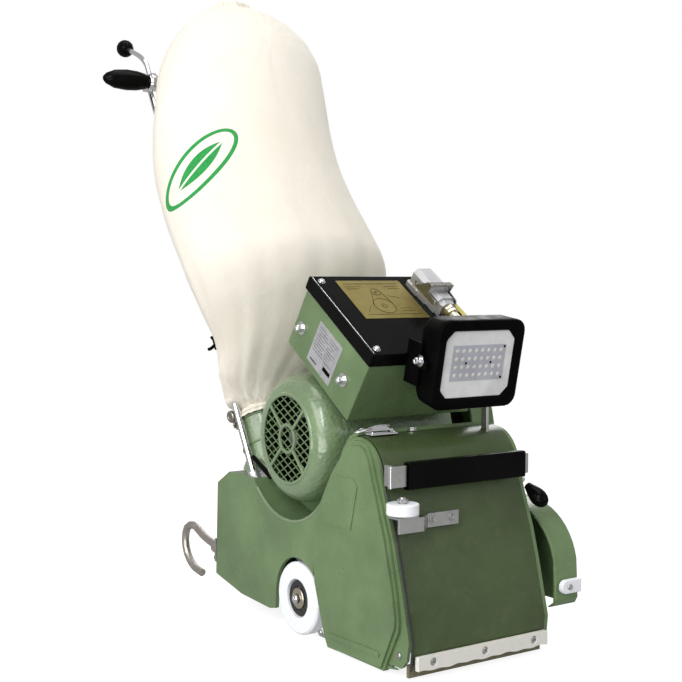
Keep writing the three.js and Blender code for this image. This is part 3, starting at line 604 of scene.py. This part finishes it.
def rounded_outline(w, h, r, steps=5):
    """A rectangle 2w by 2h with round corners."""
    corners = ((w - r, h - r, 0), (-w + r, h - r, 90), (-w + r, -h + r, 180), (w - r, -h + r, 270))
    return [(x + r * cos(t), y + r * sin(t)) for x, y, start in corners
            for t in (radians(start + 90 * k / steps) for k in range(steps + 1))]


def hexagon(r):
    return [(r * cos(pi * k / 3), r * sin(pi * k / 3)) for k in range(6)]


def washer(build, place, outer, inner, thick):
    return build.turned(place, [(0, inner), (0, outer), (thick, outer), (thick, inner), (0, inner)], 36)


def pan_screw(build, place, r):
    """A low round head with a hexagon socket."""
    build.turned(place, [(-0.6, 0), (-0.6, r * 0.9), (0.1, r), (r * 0.32, r * 0.98), (r * 0.52, r * 0.8),
                         (r * 0.6, r * 0.5), (r * 0.6, r * 0.44), (r * 0.2, r * 0.42), (r * 0.2, 0)], 28)


def hex_screw(build, place, r):
    washer(build, place, r * 1.45, r * 0.3, 1.2)
    build.prism(place @ shift(0, 0, 1.2), hexagon(r), 0, r * 0.75)


def dome_nut(build, place, r):
    """A washer, a hexagon and a polished cap."""
    washer(build, place, r * 1.55, r * 0.3, 1.4)
    build.prism(place @ shift(0, 0, 1.4), hexagon(r), 0, r * 0.8)
    cap = [(r * 0.8 + 1.4, 0)] + [(r * 0.8 + 1.4 + r * 0.85 * sin(t), r * 0.86 * cos(t))
                                  for t in (pi / 2 * k / 7 for k in range(8))]
    build.turned(place, cap, 24)


def fasteners(name, finish, kind, size, places, body="machine", rounding=0.2):
    """One piece of alike screws or nuts; each place is what frame_at takes."""
    group = Build()
    for place in places:
        kind(group, frame_at(*place), size)
    group.piece(name, finish, body, rounding=rounding)


# --- wheels, strips and lid fittings ---


def fan_cover():
    """The motor's round end: a dome, a raised rim, a fine diamond grille behind an X and a ring, and a black
    disc inside as painted shade.
    """
    place = MACHINE @ shift(0, *MOTOR_AXIS) @ spin(-90, "Y")
    steps = 14
    dome = [(80.3 + 36.2 * sin(t), 64 + 28 * cos(t) ** 0.8)
            for t in (pi / 2 * k / steps for k in range(steps))]
    rim = [(116.8, 65.5), (118.2, 64.2), (118.6, 62.2), (118.2, 60.4), (116.6, 60)]
    inside = [(114.6, 61.5), (112, 70), (104, 80), (92, 86.5), (80.3, 88)]
    profile = dome + rim + inside
    cover = Build().turned(place, profile + profile[:1], 128)
    ring = [(115.8, 16.5), (115.8, 22), (118, 21.4), (118.4, 19.2), (118, 17.1), (115.8, 16.5)]
    cover.turned(place, ring, 64)
    for turn in (45, 135, 225, 315):
        spoke = place @ spin(turn, "Z")
        cover.prism(spoke @ shift(41, 0, 0), rounded_outline(20.4, 2.4, 0.8, 2), 115.2, 118)
    cover.piece("fan_cover", GLOSS, "machine", ["motor_fan_cover"], rounding=0.3, smooth=50)
    mesh = Build()
    for turn in (60, -60):
        bars = place @ spin(turn, "Z")
        for k in range(-5, 6):
            reach = sqrt(61.5 ** 2 - (10.6 * k) ** 2)
            mesh.block(bars, -reach, reach, 10.6 * k - 0.8, 10.6 * k + 0.8, 113.6 + (turn > 0) * 1.2,
                       114.9 + (turn > 0) * 1.2)
    mesh.piece("fan_grille", PAINT, rounding=0.25)
    # A flat matt black disc inside the cover, well behind the grille: painted shade for the dark inside seen
    # through the mesh.
    Build().turned(place, [(88, 12.6), (88, 84), (89, 84), (89, 12.6), (88, 12.6)], 48).piece(
        "fan_inside_shade_disc", MATT)


def cradle_lip():
    """The rounded lip along the edge of the motor's cradle, on the near face of the housing."""
    near = (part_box("machine_housing")[0].x - ZERO.x) / MM
    y, z = MOTOR_AXIS
    path = [(near + 1.2, y + (CRADLE_R + 0.8) * cos(a), z + (CRADLE_R + 0.8) * sin(a))
            for a in (radians(207 + 109 * k / 40) for k in range(41))]
    Build().swept(MACHINE, path, 2.4, 14).piece("cradle_lip", GLOSS, smooth=60)


def wheel_fittings():
    for name, hand in (("near", -1), ("far", 1)):
        body = "wheel_" + name
        place = frame_at((hand * 111, *WHEEL_AXIS), (hand, 0, 0))
        ring = [(0.2, 15), (0.2, 25.6), (1.2, 25.6), (3.2, 24), (3.2, 17), (1.2, 15), (0.2, 15)]
        disc = [(0.2, 6.3), (0.2, 14.6), (4.2, 14.6), (5.2, 13.4), (5.8, 9), (5.8, 6.3), (0.2, 6.3)]
        Build().turned(place, ring, 48).piece("hub_ring_" + name, "caster_rubber", body, rounding=0.3)
        Build().turned(place, disc, 48).piece("hub_washer_" + name, ZINC, body, rounding=0.5)
        fasteners("axle_screw_" + name, CHROME, pan_screw, 6.4,
                  [((hand * 118.7, *WHEEL_AXIS), (hand, 0, 0))], "wheel_rocker")


def front_strip():
    """The pale strip along the front: a little wavy below, with three screws sunk in it."""
    steps = 54
    half = 108
    outline = [(half, 32), (-half, 32)]
    outline += [(-half + 2 * half * k / steps, 14 + 0.7 * sin(k * 0.9) + 0.5 * sin(k * 0.37 + 1))
                for k in range(steps + 1)]
    base = MACHINE @ shift(0, -17.6, 0) @ spin(90, "X")
    strip = Build().prism(base, outline, 0, 7.2)
    strip = strip.piece("front_strip", CREAM, "machine", ["front_bumper_strip"])
    holes = Build()
    screws = Build()
    for x in (-84, 0, 84):
        place = frame_at((x, -25, 23.5), FRONT)
        holes.turned(place, [(-3.4, 0), (-3.4, 5.2), (3, 5.2), (3, 0)], 28)
        pan_screw(screws, frame_at((x, -21.4, 23.5), FRONT), 4.4)
    cut_away(strip, holes)
    bevel(strip, 1.3, 2, 50)
    screws.piece("front_strip_screws", STEEL)


def cut_away(piece, tools):
    """Takes the gathered solids out of a piece, for good."""
    mesh = mesh_of("tool", tools.points, tools.faces)
    work = bmesh.new()
    work.from_mesh(mesh)
    bmesh.ops.holes_fill(work, edges=work.edges, sides=64)
    bmesh.ops.recalc_face_normals(work, faces=work.faces)
    work.to_mesh(mesh)
    work.free()
    tool = into_scene("tool", mesh)
    modifier = piece.modifiers.new("cut", "BOOLEAN")
    modifier.object = tool
    modifier.solver = "EXACT"
    bpy.context.view_layer.update()
    made = as_modified(piece)
    piece.modifiers.clear()
    piece.data = made
    bpy.data.objects.remove(tool)


def lid_fittings():
    fasteners("side_lid_screws", STEEL, pan_screw, 4.6,
              [((-116.6, 3, 30), NEAR), ((-124, 168, 21), NEAR)], "side_lid")
    seam = [(14, -16.4), (50, -19.3), (77, -12.3), (118, -2.3), (164, 10.7), (206, 26.7), (230, 34.7)]
    Build().swept(MACHINE, [(-113.2, y, z) for z, y in seam], 1.5, 8).piece("lid_seam", "caster_rubber")
    latch = Build().prism(frame_at((-89, 88, 297.2), UP), rounded_outline(13, 7, 3), 0, 1.2)
    for y in (84, 92):
        pan_screw(latch, frame_at((-65.6, y, 297.3), UP), 2.2)
    latch.piece("latch_plate", CHROME, rounding=0.3)
    lever = Build()
    path = [(-112, 0), (-106, 1.5), (-98, 3.4), (-90, 4.2), (-82, 4.0), (-74.5, 3.0)]
    outline = path + [(x, z + 1.3) for x, z in reversed(path)]
    flat = MACHINE @ shift(0, 94.4, 302.6) @ spin(90, "X")
    lever.prism(flat, outline, 0, 12.8)
    cheek = [(-108, 2.4), (-74, 2.4), (-80, 6.4), (-98, 6.2)]
    for y in (82, 94):
        lever.prism(MACHINE @ shift(0, y + 0.6, 300) @ spin(90, "X"), cheek, 0, 1.2)
    wire = [(-101, 83, 303), (-110, 82, 303), (-119, 82.6, 301), (-123.5, 86, 299.5), (-123.5, 90, 299.5),
            (-119, 93.4, 301), (-110, 94, 303), (-101, 93, 303)]
    lever.swept(MACHINE, wire, 1.3, 10)
    lever.piece("latch_bow", CHROME, "latch", rounding=0.25)
    fasteners("motor_plate_bolt", STEEL, hex_screw, 5, [((-25, 96, 294.6), UP)], rounding=0.3)


def guard_fittings():
    screws = Build()
    pan_screw(screws, frame_at((150, -22.5, 84), FRONT), 4.2)
    for x in (-57, -25):
        hex_screw(screws, frame_at((x, 11, 193), FRONT), 4.6)
    screws.piece("front_screws", STEEL, rounding=0.25)
    fasteners("guard_screws", STEEL, pan_screw, 6,
              [((174, y, z), FAR) for y, z in ((196, 196), (60, 96), (330, 330))], rounding=0.3)
    outline = [(-14, 0), (-14, 4.6), (-17, 4.6), (-17, 5.6), (-13, 6.6), (-6, 9), (2, 11), (9, 11.6),
               (15, 10.6), (20, 8), (23, 4.4), (24, 0)]
    Build().turned(frame_at((131, 26, 205), (0, -24, -14.5)), outline, 40).piece(
        "tension_lever_grip", BLACK, "tension_lever", ["tension_lever_knob"], smooth=60)
    Build().block(MACHINE, -123.2, -120.9, 13.6, 19.4, 236.5, 264.5).piece(
        "handle_end_plate", CHROME, rounding=0.6)


# --- control box ---


def box_fittings():
    fasteners("box_dome_nuts", CHROME, dome_nut, 6.2,
              [((-102, 157, 38), NEAR, TRAY), ((-102, 37, 40), NEAR, TRAY)], rounding=0.3)
    side = TRAY @ Matrix(((0, 0, -1, -0.102), (-1, 0, 0, 0.092), (0, 1, 0, 0.043), (0, 0, 0, 1)))
    Build().prism(side, rounded_outline(32, 32, 1.5), 0, 0.6).piece("rating_plate", FOIL, rounding=0.15)
    marks = Build()
    for row in range(9):
        y = 25 - 4.4 * row
        for start, end in ((-27, -6 + 3 * (row % 3)), (0 + 2 * (row % 2), 25 - 4 * (row % 4))):
            marks.block(side, start, end, y - 0.25, y + 0.25, 0.55, 0.72)
    marks.block(side, 8, 27, -22, -16, 0.55, 0.74)
    marks.block(side, -26, -8, -26, -24.4, 0.55, 0.74)
    marks.piece("rating_plate_lines", MATT)
    lid = TRAY @ shift(0, 0, LID_TOP)
    screws = Build()
    for x in (-92, 97):
        for y in (10, 165):
            place = lid @ shift(x, y, 0)
            washer(screws, place, 5.4, 1.5, 0.6)
            pan_screw(screws, place @ shift(0, 0, 0.6), 4.2)
    screws.piece("lid_screws", CHROME, rounding=0.2)
    brass = lid @ shift(-15, 121, 0)
    Build().prism(brass, rounded_outline(54.5, 45, 1.5), 0, 0.7).piece(
        "instruction_plate", BRASS, rounding=0.15)
    drawing = Build()
    for x, y, r in ((-6, -16, 17), (-6, -16, 4), (-2, 17, 7.5), (-2, 17, 2)):
        drawing.swept(brass, circle(r, 40, x, y, 0.75), 0.28, 6, True)
    lines = (
        ((-23, -15), (-9.4, 18)), ((11, -14), (5.3, 19)), ((18, -28), (40, -28)), ((18, -22), (36, -22)),
        ((-46, 30), (-22, 30)), ((-46, 25), (-26, 25)), ((20, 30), (44, 30)), ((24, 25), (44, 25)),
        ((-40, -30), (-28, -14)), ((14, 8), (30, 2)), ((-46, -36), (46, -36)), ((-46, 37), (46, 37)),
    )
    for a, b in lines:
        drawing.swept(brass, [(*a, 0.75), (*b, 0.75)], 0.26, 6)
    drawing.piece("instruction_drawing", MATT)
    strip = lid @ shift(103.5, 93, 0)
    Build().prism(strip, rounded_outline(4, 19, 1), 0, 0.5).piece(
        "edge_strip", YELLOW, rounding=0.1)
    edge = [(-101.4, 0, -0.1), (-101.4, 176, -0.1)]
    Build().swept(lid, edge, 0.5, 6).piece("lid_edge_bead", CHROME)


def connector_fittings():
    """The cable connector on the lid: its socket, the narrower plug before it, a steel clip and a gland."""
    base = LID_TOP + 0.4
    across = TRAY @ shift(65, 0, base) @ spin(90, "X")

    def cross_section(half, high, shoulder):
        return [(-half, 0), (half, 0), (half, high - shoulder), (half - shoulder, high),
                (shoulder - half, high), (-half, high - shoulder)]

    hood = Build()
    for size, start, end in (((17, 30.6, 6), -152, -107), ((18.6, 9, 1.5), -156, -128),
                             ((14.5, 25, 5), -107.2, -86), ((12, 22.5, 5), -86.2, -76)):
        hood.prism(across, cross_section(*size), start, end)
    for x, y in ((50, 152), (80, 152)):
        pan_screw(hood, TRAY @ shift(x, y, base + 8.9), 2.4)
    for hand in (-1, 1):
        washer(hood, frame_at((65 + hand * 17, 138, base + 8), (hand, 0, 0), TRAY), 5, 1.6, 1.4)
        washer(hood, frame_at((65 + hand * 14.5, 92, base + 14), (hand, 0, 0), TRAY), 4, 1.6, 1.2)
    hood.piece("connector_body", ALUMINIUM, "machine", ["connector_hood"], rounding=0.7)
    gland = Build()
    nut = frame_at((65, 75.8, base + 12), FRONT, TRAY)
    for start, end, size in ((0, 6, 10.5), (7.2, 12, 10), (12.6, 36.5, 7.2)):
        if size > 9:
            gland.prism(nut, hexagon(size), start, end)
        else:
            gland.turned(nut, [(start, 4.5), (start, size), (end - 8, size), (end - 4, size + 1),
                               (end, size - 0.6), (end, 4.5), (start, 4.5)], 36)
    washer(gland, nut @ shift(0, 0, 6), 8.4, 4.5, 1.4)
    gland.piece("connector_gland_nuts", BRASS_LIGHT, "machine", ["connector_gland"], rounding=0.5)
    clip = Build()
    for hand in (-1, 1):
        side = TRAY @ shift(65 + hand * 19.2, 0, base) @ Matrix(
            ((0, 0, 1, 0), (1, 0, 0, 0), (0, 1, 0, 0), (0, 0, 0, 1)))
        clip.prism(side, [(84.5, 15.5), (88, 12.5), (134, 12.5), (139, 16), (139, 20), (126, 22), (113, 33.4),
                          (104, 33.4), (106, 22), (88, 20)], -0.9, 0.9)
        hex_screw(clip, frame_at((65 + hand * 20, 132, base + 17), (hand, 0, 0), TRAY), 2.4)
    clip.prism(across, [(-20.1, 31.8), (20.1, 31.8), (20.1, 33.6), (-20.1, 33.6)], -113, -104)
    clip.prism(across, [(-20.1, 33.4), (20.1, 33.4), (18.5, 34.8), (-18.5, 34.8)], -105.6, -103.4)
    clip.piece("connector_clip", DARK_STEEL, "connector_latch", ["connector_latch"], rounding=0.35)


# --- work lamp ---


def resampled(outline, count):
    """That many points at even angles round an outline about its own middle."""
    found = []
    for k in range(count):
        angle = 2 * pi * (k + 0.5) / count
        ray = Vector((cos(angle), sin(angle)))
        best = None
        for i, a in enumerate(outline):
            a, b = Vector(a), Vector(outline[(i + 1) % len(outline)])
            edge = b - a
            cross = ray.x * edge.y - ray.y * edge.x
            if abs(cross) < 1e-9:
                continue
            far = (a.x * edge.y - a.y * edge.x) / cross
            share = (a.x * ray.y - a.y * ray.x) / cross
            if far > 0 and -1e-6 <= share <= 1 + 1e-6:
                best = far
        found.append(ray * best)
    return found


def lamp_head():
    """A cast black lamp: a round-cornered rim, a sloping inner edge, and cooling ribs behind."""
    count = 96
    w, h, depth = (size / 2 for size in LAMP_SIZE)
    chamfer = 12
    ow, oh = 59.5, 46
    opening = [(ow, oh - chamfer), (ow - chamfer, oh), (chamfer - ow, oh), (-ow, oh - chamfer),
               (-ow, chamfer - oh), (chamfer - ow, -oh), (ow - chamfer, -oh), (ow, chamfer - oh)]
    # rows of (outline, depth); the lamp shines towards -Y
    rows = [
        (rounded_outline(w - 12, h - 12, 10), depth),
        (rounded_outline(w - 7, h - 7, 14), depth - 1),
        (rounded_outline(w - 1.6, h - 1.6, 16), depth - 12),
        (rounded_outline(w - 0.3, h - 0.3, 16), -depth + 9),
        (rounded_outline(w, h, 16), -depth + 7.5),
        (rounded_outline(w, h, 16), -depth + 2.4),
        (rounded_outline(w - 0.7, h - 0.7, 15.5), -depth + 0.7),
        (rounded_outline(w - 2.6, h - 2.6, 14), -depth),
        ([(x * 1.045, y * 1.055) for x, y in opening], -depth),
        (opening, -depth + 1.4),
        ([(x * 0.99, y * 0.985) for x, y in opening], -depth + 10.8),
    ]
    points = []
    for outline, y in rows:
        points += [(p.x, y, p.y) for p in resampled(outline, count)]
    points += [(0, depth, 0), (0, -depth + 10.8, 0)]
    faces = tube_faces(len(rows), count)
    middle = len(rows) * count
    faces += [(middle, (i + 1) % count, i) for i in range(count)]
    faces += [(middle + 1, middle - count + i, middle - count + (i + 1) % count) for i in range(count)]
    Build().add(LAMP, points, faces).piece("lamp_head", MATT, "lamp", ["lamp_housing"], smooth=40)
    ribs = Build()
    for k in range(9):
        x = -48 + 12 * k
        ribs.block(LAMP, x - 1, x + 1, depth - 2, depth + 3, 16, 44)
        ribs.block(LAMP, x - 1, x + 1, depth - 2, depth + 3, -44, -22)
    ribs.piece("lamp_ribs", MATT, "lamp", rounding=0.5)
    board = LAMP @ shift(0, -19.1, 2) @ spin(90, "X")
    Build().prism(board, rounded_outline(45, 24, 1.5), -0.2, 0.35).piece(
        "led_window", WINDOW, "lamp", rounding=0.2)
    leds = Build()
    for column in range(8):
        for row in range(4):
            leds.turned(board @ shift(-37 + 10.6 * column, -16.5 + 11 * row, 0.3),
                        [(0, 0), (0, 3.0), (0.35, 2.7), (0.7, 1.6), (0.8, 0)], 18)
    leds.piece("led_lenses", LED, "lamp")
    holes = Build()
    for x, y in ((-21, 0), (21, 0), (42, 21), (42, -21)):
        holes.turned(board @ shift(x, y, 0.3), [(0, 0), (0, 1.7), (0.8, 1.4), (0.8, 0)], 18)
    holes.piece("led_screws", MATT, "lamp")
    bolts = Build()
    for hand in (-1, 1):
        side = frame_at((hand * 78, 4, 1), (hand, 0, 0), LAMP)
        washer(bolts, side, 8, 2, 1.2)
        washer(bolts, side @ shift(0, 0, 1.2), 6.6, 2, 1.5)
        bolts.turned(side @ shift(0, 0, 2.7),
                     [(0, 0), (0, 4.4), (1, 5), (4.4, 5), (5.8, 4.2), (6.2, 3), (4.8, 2.7), (4.8, 0)], 32)
    bolts.piece("lamp_bolts", CHROME, rounding=0.2)
    plates = Build()
    plates.block(LAMP, -77.6, -75.1, 5, 34, -34, 24)
    plates.block(LAMP, 75.1, 77.6, 5, 34, -34, 24)
    plates.block(LAMP, -60, 60, 28.4, 30.6, -12, 2)
    plates.piece("lamp_stand", MATT, rounding=0.6)
    Build().block(MACHINE, 82, 86, 70, 82, 283, 352).piece("lamp_post", STEEL, rounding=0.8)


# --- column foot, duct and rear hook ---

# Places in the column's frame: the duct, the lift rod beside the tube, and the knob on the bag's mouth.
DUCT_AXIS = (-56, 27)
ROD_X = -102
KNOB = (-94, 33, 112)


def column_fittings():
    collar = [(1.4, 31), (1.4, 46), (3.2, 47.5), (6, 45), (11, 40.5), (13, 41.5), (13, 38), (1.4, 31)]
    Build().turned(frame_at((-56, 392, 199), UP), collar, 56).piece("duct_collar", ALUMINIUM, rounding=0.5)
    bead = Build()
    for z, r in ((58, 40.4), (100, 40.6)):
        profile = [(-2.2, 38.6), (-1.4, r), (1.4, r), (2.2, 38.6), (-2.2, 38.6)]
        bead.turned(COLUMN @ shift(*DUCT_AXIS, z), profile, 56)
    bead.piece("duct_beads", PAINT)
    knob = Build()
    side = COLUMN @ shift(*KNOB) @ spin(-100, "Y")
    knob.turned(side, [(0, 0), (0, 5), (3, 6), (4, 8), (6, 9.5), (11, 9.5), (13, 8), (13, 5), (11.5, 4),
                       (11.5, 0)], 28)
    knob.turned(side, [(-22, 0), (-22, 3.5), (0.5, 3.5), (0.5, 0)], 20)
    knob.piece("clamp_knob", BRONZE, rounding=0.9)
    gland = [(0, 6), (0, 13), (5, 13.5), (18, 9.6), (24, 10), (24, 6), (0, 6)]
    Build().turned(COLUMN @ shift(ROD_X, 15, -12), gland, 36).piece("rod_gland", ALUMINIUM, rounding=0.6)
    clip = Build()
    place = COLUMN @ shift(ROD_X, 15, 227)
    clip.turned(place, [(-8, 5.15), (-8, 8.6), (8, 8.6), (8, 5.15), (-8, 5.15)], 28)
    clip.swept(place, [(-7, 0, -2), (-12, 0, -6), (-17, 0, -9), (-21, 0, -10)], 2.6, 12)
    clip.swept(place, [(-5, 0, 4), (-9, 0, 9), (-10, 0, 12)], 2.4, 12)
    clip.piece("rod_cable_clip", MATT, "lift_rod", rounding=0.5)
    fasteners("hook_plate_screws", STEEL, hex_screw, 3.4,
              [((x, 478, z), BACK) for x, z in ((-112, 64), (-88, 64), (-112, 88), (-88, 88))])
    socket = Build()
    socket.turned(COLUMN @ shift(0, 0, 50), [(-7, 21.2), (-7, 25), (7, 25), (7, 21.2), (-7, 21.2)], 40)
    socket.block(COLUMN, 20, 44, -6, 6, 44, 56)
    hex_screw(socket, frame_at((34, -6, 50), FRONT, COLUMN), 4.6)
    socket.piece("tube_clamp", STEEL, rounding=0.8)
    collars = Build()
    for hand in (-1, 1):
        collars.turned(frame_at((hand * 97, 0, 710), (hand, 0, 0), COLUMN),
                       [(0, 11), (0, 14), (3, 15.4), (11, 15.4), (14, 13.4), (14, 11), (0, 11)], 36)
    collars.piece("grip_collars", CHROME, rounding=0.5)


# --- dust bag ---

# The bag in the column's frame, in mm: its heights, its half sizes, its taper and how far it leans forward.
FOOT, FULL, SHOULDER, TOP = 112, 300, 625, 785
MOUTH, HALF_WIDTH, HALF_DEPTH, TAPER, REACH = 39, 171, 103, 14, 116
# How far it leans sideways at some heights.
SWAY = ((112, -56), (225, -16), (450, -44), (760, 10))
# How far the cloth may move and how close it may come to other pieces, in mm, and its settings.
MOST_MOVED = 13
LEAST_GAP = 2.5
SIMULATED_FRAMES = 22
CLOTH = {"quality": 6, "mass": 0.25, "tension_stiffness": 14, "compression_stiffness": 9,
         "shear_stiffness": 6, "bending_stiffness": 0.35, "air_damping": 3, "shrink_min": -0.05,
         "vertex_group_mass": "held", "use_pressure": True, "uniform_pressure_force": 2.2}
# The hem round the duct, in mm: heights along the column and radii.
HEM = ((110, 41.2), (108, 40.9), (106, 41.6), (104, 42.6), (102.5, 43.4), (101, 43.6))
TIE_POINT = Vector((2, -52, 772))


def eased(stops, z):
    if z <= stops[0][0]:
        return stops[0][1]
    for (z0, a), (z1, b) in zip(stops, stops[1:]):
        if z <= z1:
            t = (z - z0) / (z1 - z0)
            return a + (b - a) * t * t * (3 - 2 * t)
    return stops[-1][1]


def bag_oval(z):
    """The middle and half sizes of the bag's section at that height along the column."""
    swell = sin(pi / 2 * min((z - FOOT) / (FULL - FOOT), 1))
    straight = min(max((z - FULL) / (SHOULDER - FULL), 0), 1)
    dome = max((z - SHOULDER) / (TOP + 6 - SHOULDER), 0)
    closing = (1 - dome ** 2) ** 0.55
    taper = TAPER * straight
    rx = (MOUTH + (HALF_WIDTH - MOUTH) * swell - taper) * closing
    ry = (MOUTH + (HALF_DEPTH - MOUTH) * swell ** 1.3 - taper / 2) * closing
    y = DUCT_AXIS[1] + (-REACH - DUCT_AXIS[1]) * swell ** 1.2
    return eased(SWAY, z), y, rx, ry


def bag_point(row, angle):
    """A point of the resting bag, from row 0 at the mouth to 1 at the crown, with its gathered folds."""
    span = TOP - FOOT
    z = FOOT + span * (0.5 - 0.5 * cos(pi * row)) ** 0.92
    x, y, rx, ry = bag_oval(z)
    low = exp(-((z - FOOT) / 95))
    pleats = sin(13 * angle + 1.3 * sin(2 * angle)) * 0.6 + sin(21 * angle + 0.8) * 0.4
    swell = 1 + 0.045 * low * pleats * min(1, (z - FOOT) / 25)
    slant = sin((z - FOOT) / 17 - 2.2 * angle) * exp(-((z - 178) / 46) ** 2)
    point = Vector((x + rx * swell * cos(angle), y + ry * swell * sin(angle), z))
    outward = Vector((cos(angle) / max(rx, 1), sin(angle) / max(ry, 1), 0)).normalized()
    point += outward * 2.4 * slant
    away = point - TIE_POINT
    around = atan2(away.x, away.y * 0.6 - away.z)
    gather = exp(-(away.length / 85)) * (sin(17 * around) * 4.2 + sin(29 * around + 1) * 1.6)
    return point + outward * gather - Vector((0, 0, abs(gather) * 0.5))


def bag_shell(rows, around):
    points = []
    for k in range(rows + 1):
        points += [bag_point(k / rows, angle) for angle in angles(around)]
    crown = sum(points[-around:], Vector()) / around
    points.append(crown + Vector((0, 0, 3)))
    faces = tube_faces(rows + 1, around)
    last = rows * around
    faces += [(last + i, last + (i + 1) % around, last + around) for i in range(around)]
    return mesh_of("dust_bag_shell", [COLUMN @ (p * MM) for p in points], faces)


def inflate(mesh, rows, around):
    """Cloth simulation: the shell is cut a little large and blown up, so it wrinkles as a full bag does."""
    shell = into_scene("bag_in_work", mesh)
    held = shell.vertex_groups.new(name="held")
    for pinned in (range(around * 2), range(around * (rows - 1), len(mesh.vertices))):
        held.add(list(pinned), 1.0, "REPLACE")
    cloth = shell.modifiers.new("cloth", "CLOTH")
    for key, value in CLOTH.items():
        setattr(cloth.settings, key, value)
    cloth.settings.effector_weights.gravity = 0.35
    cloth.collision_settings.use_collision = False
    cloth.collision_settings.use_self_collision = False
    scene = bpy.context.scene
    cloth.point_cache.frame_start = 1
    cloth.point_cache.frame_end = SIMULATED_FRAMES
    for step in range(1, SIMULATED_FRAMES + 1):
        scene.frame_set(step)
    made = as_modified(shell)
    scene.frame_set(1)
    bpy.data.objects.remove(shell)
    return made


def bag_neighbours():
    points = []
    faces = []
    for node in ("control_box_tray", "control_box_lid", "motor_frame", "motor_fan_cover", "connector_hood",
                 "connector_latch", "suction_duct", "guide_tube", "handle_bar", "machine_housing",
                 "tube_socket", "main_switch"):
        mesh = frame["nodes"][node].data
        first = len(points)
        points += [v.co.copy() for v in mesh.vertices]
        faces += [[first + i for i in p.vertices] for p in mesh.polygons]
    return BVHTree.FromPolygons(points, faces)


def keep_clear(place, base, tree):
    """Limits how far the cloth may have moved, and pushes it off the tube, the rod and its neighbours."""
    moved = place - base
    most = MOST_MOVED * MM
    if moved.length > most:
        moved *= most / moved.length
    local = COLUMN.inverted() @ (base + moved) / MM
    for x, y, clear in ((0, 0, 21.5), (ROD_X, 16, 12.5)):
        away = Vector((local.x - x, local.y - y))
        if away.length < clear:
            away = away.normalized() * clear if away.length > 1e-6 else Vector((0, -clear))
            local.x, local.y = x + away.x, y + away.y
    place = COLUMN @ (local * MM)
    near, normal, _, gap = tree.find_nearest(place)
    if normal is not None:
        inside = (place - near).dot(normal) < 0
        if (inside and gap < 30 * MM) or gap < LEAST_GAP * MM:
            place = near + normal * LEAST_GAP * MM
    return place


def dust_bag():
    rows, around = ((104, 150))
    mesh = bag_shell(rows, around)
    base = [v.co.copy() for v in mesh.vertices]
    mesh = inflate(mesh, rows, around)
    tree = bag_neighbours()
    places = [keep_clear(v.co, b, tree) for v, b in zip(mesh.vertices, base)]
    # the hem: the cloth runs on down the outside of the duct, tied round it
    x, y = DUCT_AXIS
    hem = []
    for z, r in HEM:
        for angle in angles(around):
            ruffle = (0.5 if z > 105 else 1.3) * sin(24 * angle) + 0.4 * sin(37 * angle + 1)
            reach = r + max(ruffle, 40.4 - r)
            hem.append(COLUMN @ (Vector((x + reach * cos(angle), y + reach * sin(angle), z)) * MM))
    points = places + hem
    faces = [list(p.vertices) for p in mesh.polygons]
    first = len(places)
    for k in range(len(HEM)):
        upper = 0 if k == 0 else first + (k - 1) * around
        lower = first + k * around
        faces += [(lower + i, lower + (i + 1) % around, upper + (i + 1) % around, upper + i)
                  for i in range(around)]
    made = mesh_of("dust_bag_cloth", points, faces)
    bag = new_piece("dust_bag_cloth", made, CANVAS, "machine", ["dust_bag"], smooth=80)
    smooth = bag.modifiers.new("finer", "SUBSURF")
    smooth.levels = smooth.render_levels = 1
    thick = bag.modifiers.new("cloth_thickness", "SOLIDIFY")
    thick.thickness = 1.0 * MM
    thick.offset = 1
    return bag


def bag_trimmings():
    """The cord round the mouth, and the gathered neck at the top with its black tie."""
    cord = Build().swept(COLUMN, circle(42.9, 60, *DUCT_AXIS, 108), 1.4, 10, True).piece(
        "mouth_drawstring", "cotton_cloth")
    neck = COLUMN @ shift(*TIE_POINT) @ spin(-38, "X")
    around = 120
    rows = ((-9, 30), (-3, 22), (3, 15), (8, 11.5), (12, 11), (16, 13), (21, 18), (25, 22), (27, 23.5))
    points = []
    for h, r in rows:
        for t in angles(around):
            fold = 1 + (0.1 + 0.004 * h) * sin(15 * t) + 0.05 * sin(23 * t + h * 0.1)
            frill = 1.2 * sin(9 * t) * (h > 20)
            points.append((r * fold * cos(t), r * fold * sin(t), h + frill))
    faces = tube_faces(len(rows), around)
    tuft = Build().add(neck, points, faces).piece("bag_gather", CANVAS, smooth=80)
    thick = tuft.modifiers.new("cloth_thickness", "SOLIDIFY")
    thick.thickness = 1.2 * MM
    tie = Build()
    for lift in (9, 12.5):
        tie.swept(neck, circle(13.2, 40, z=lift), 1.7, 10, True)
    tie.swept(neck, [(-12, 0, 11), (-17, 3, 9), (-21, 4, 3), (-22, 6, -6), (-21, 8, -14)], 1.6, 10)
    tie.swept(neck, [(-12, 2, 10), (-18, -2, 11), (-24, -4, 8), (-27, -4, 1)], 1.6, 10)
    tie.turned(neck @ shift(-14, 1, 10.5), [(-4, 0), (-3, 3), (0, 4.2), (3, 3), (4, 0)], 16)
    tie = tie.piece("bag_tie", MATT)
    return [cord, tuft, tie]


make_camera()
make_lights()
dress_cad()
fan_cover()
cradle_lip()
wheel_fittings()
front_strip()
lid_fittings()
guard_fittings()
box_fittings()
connector_fittings()
lamp_head()
column_fittings()
BAG_PIECE = dust_bag()
TRIMMINGS = bag_trimmings()
make_floor()
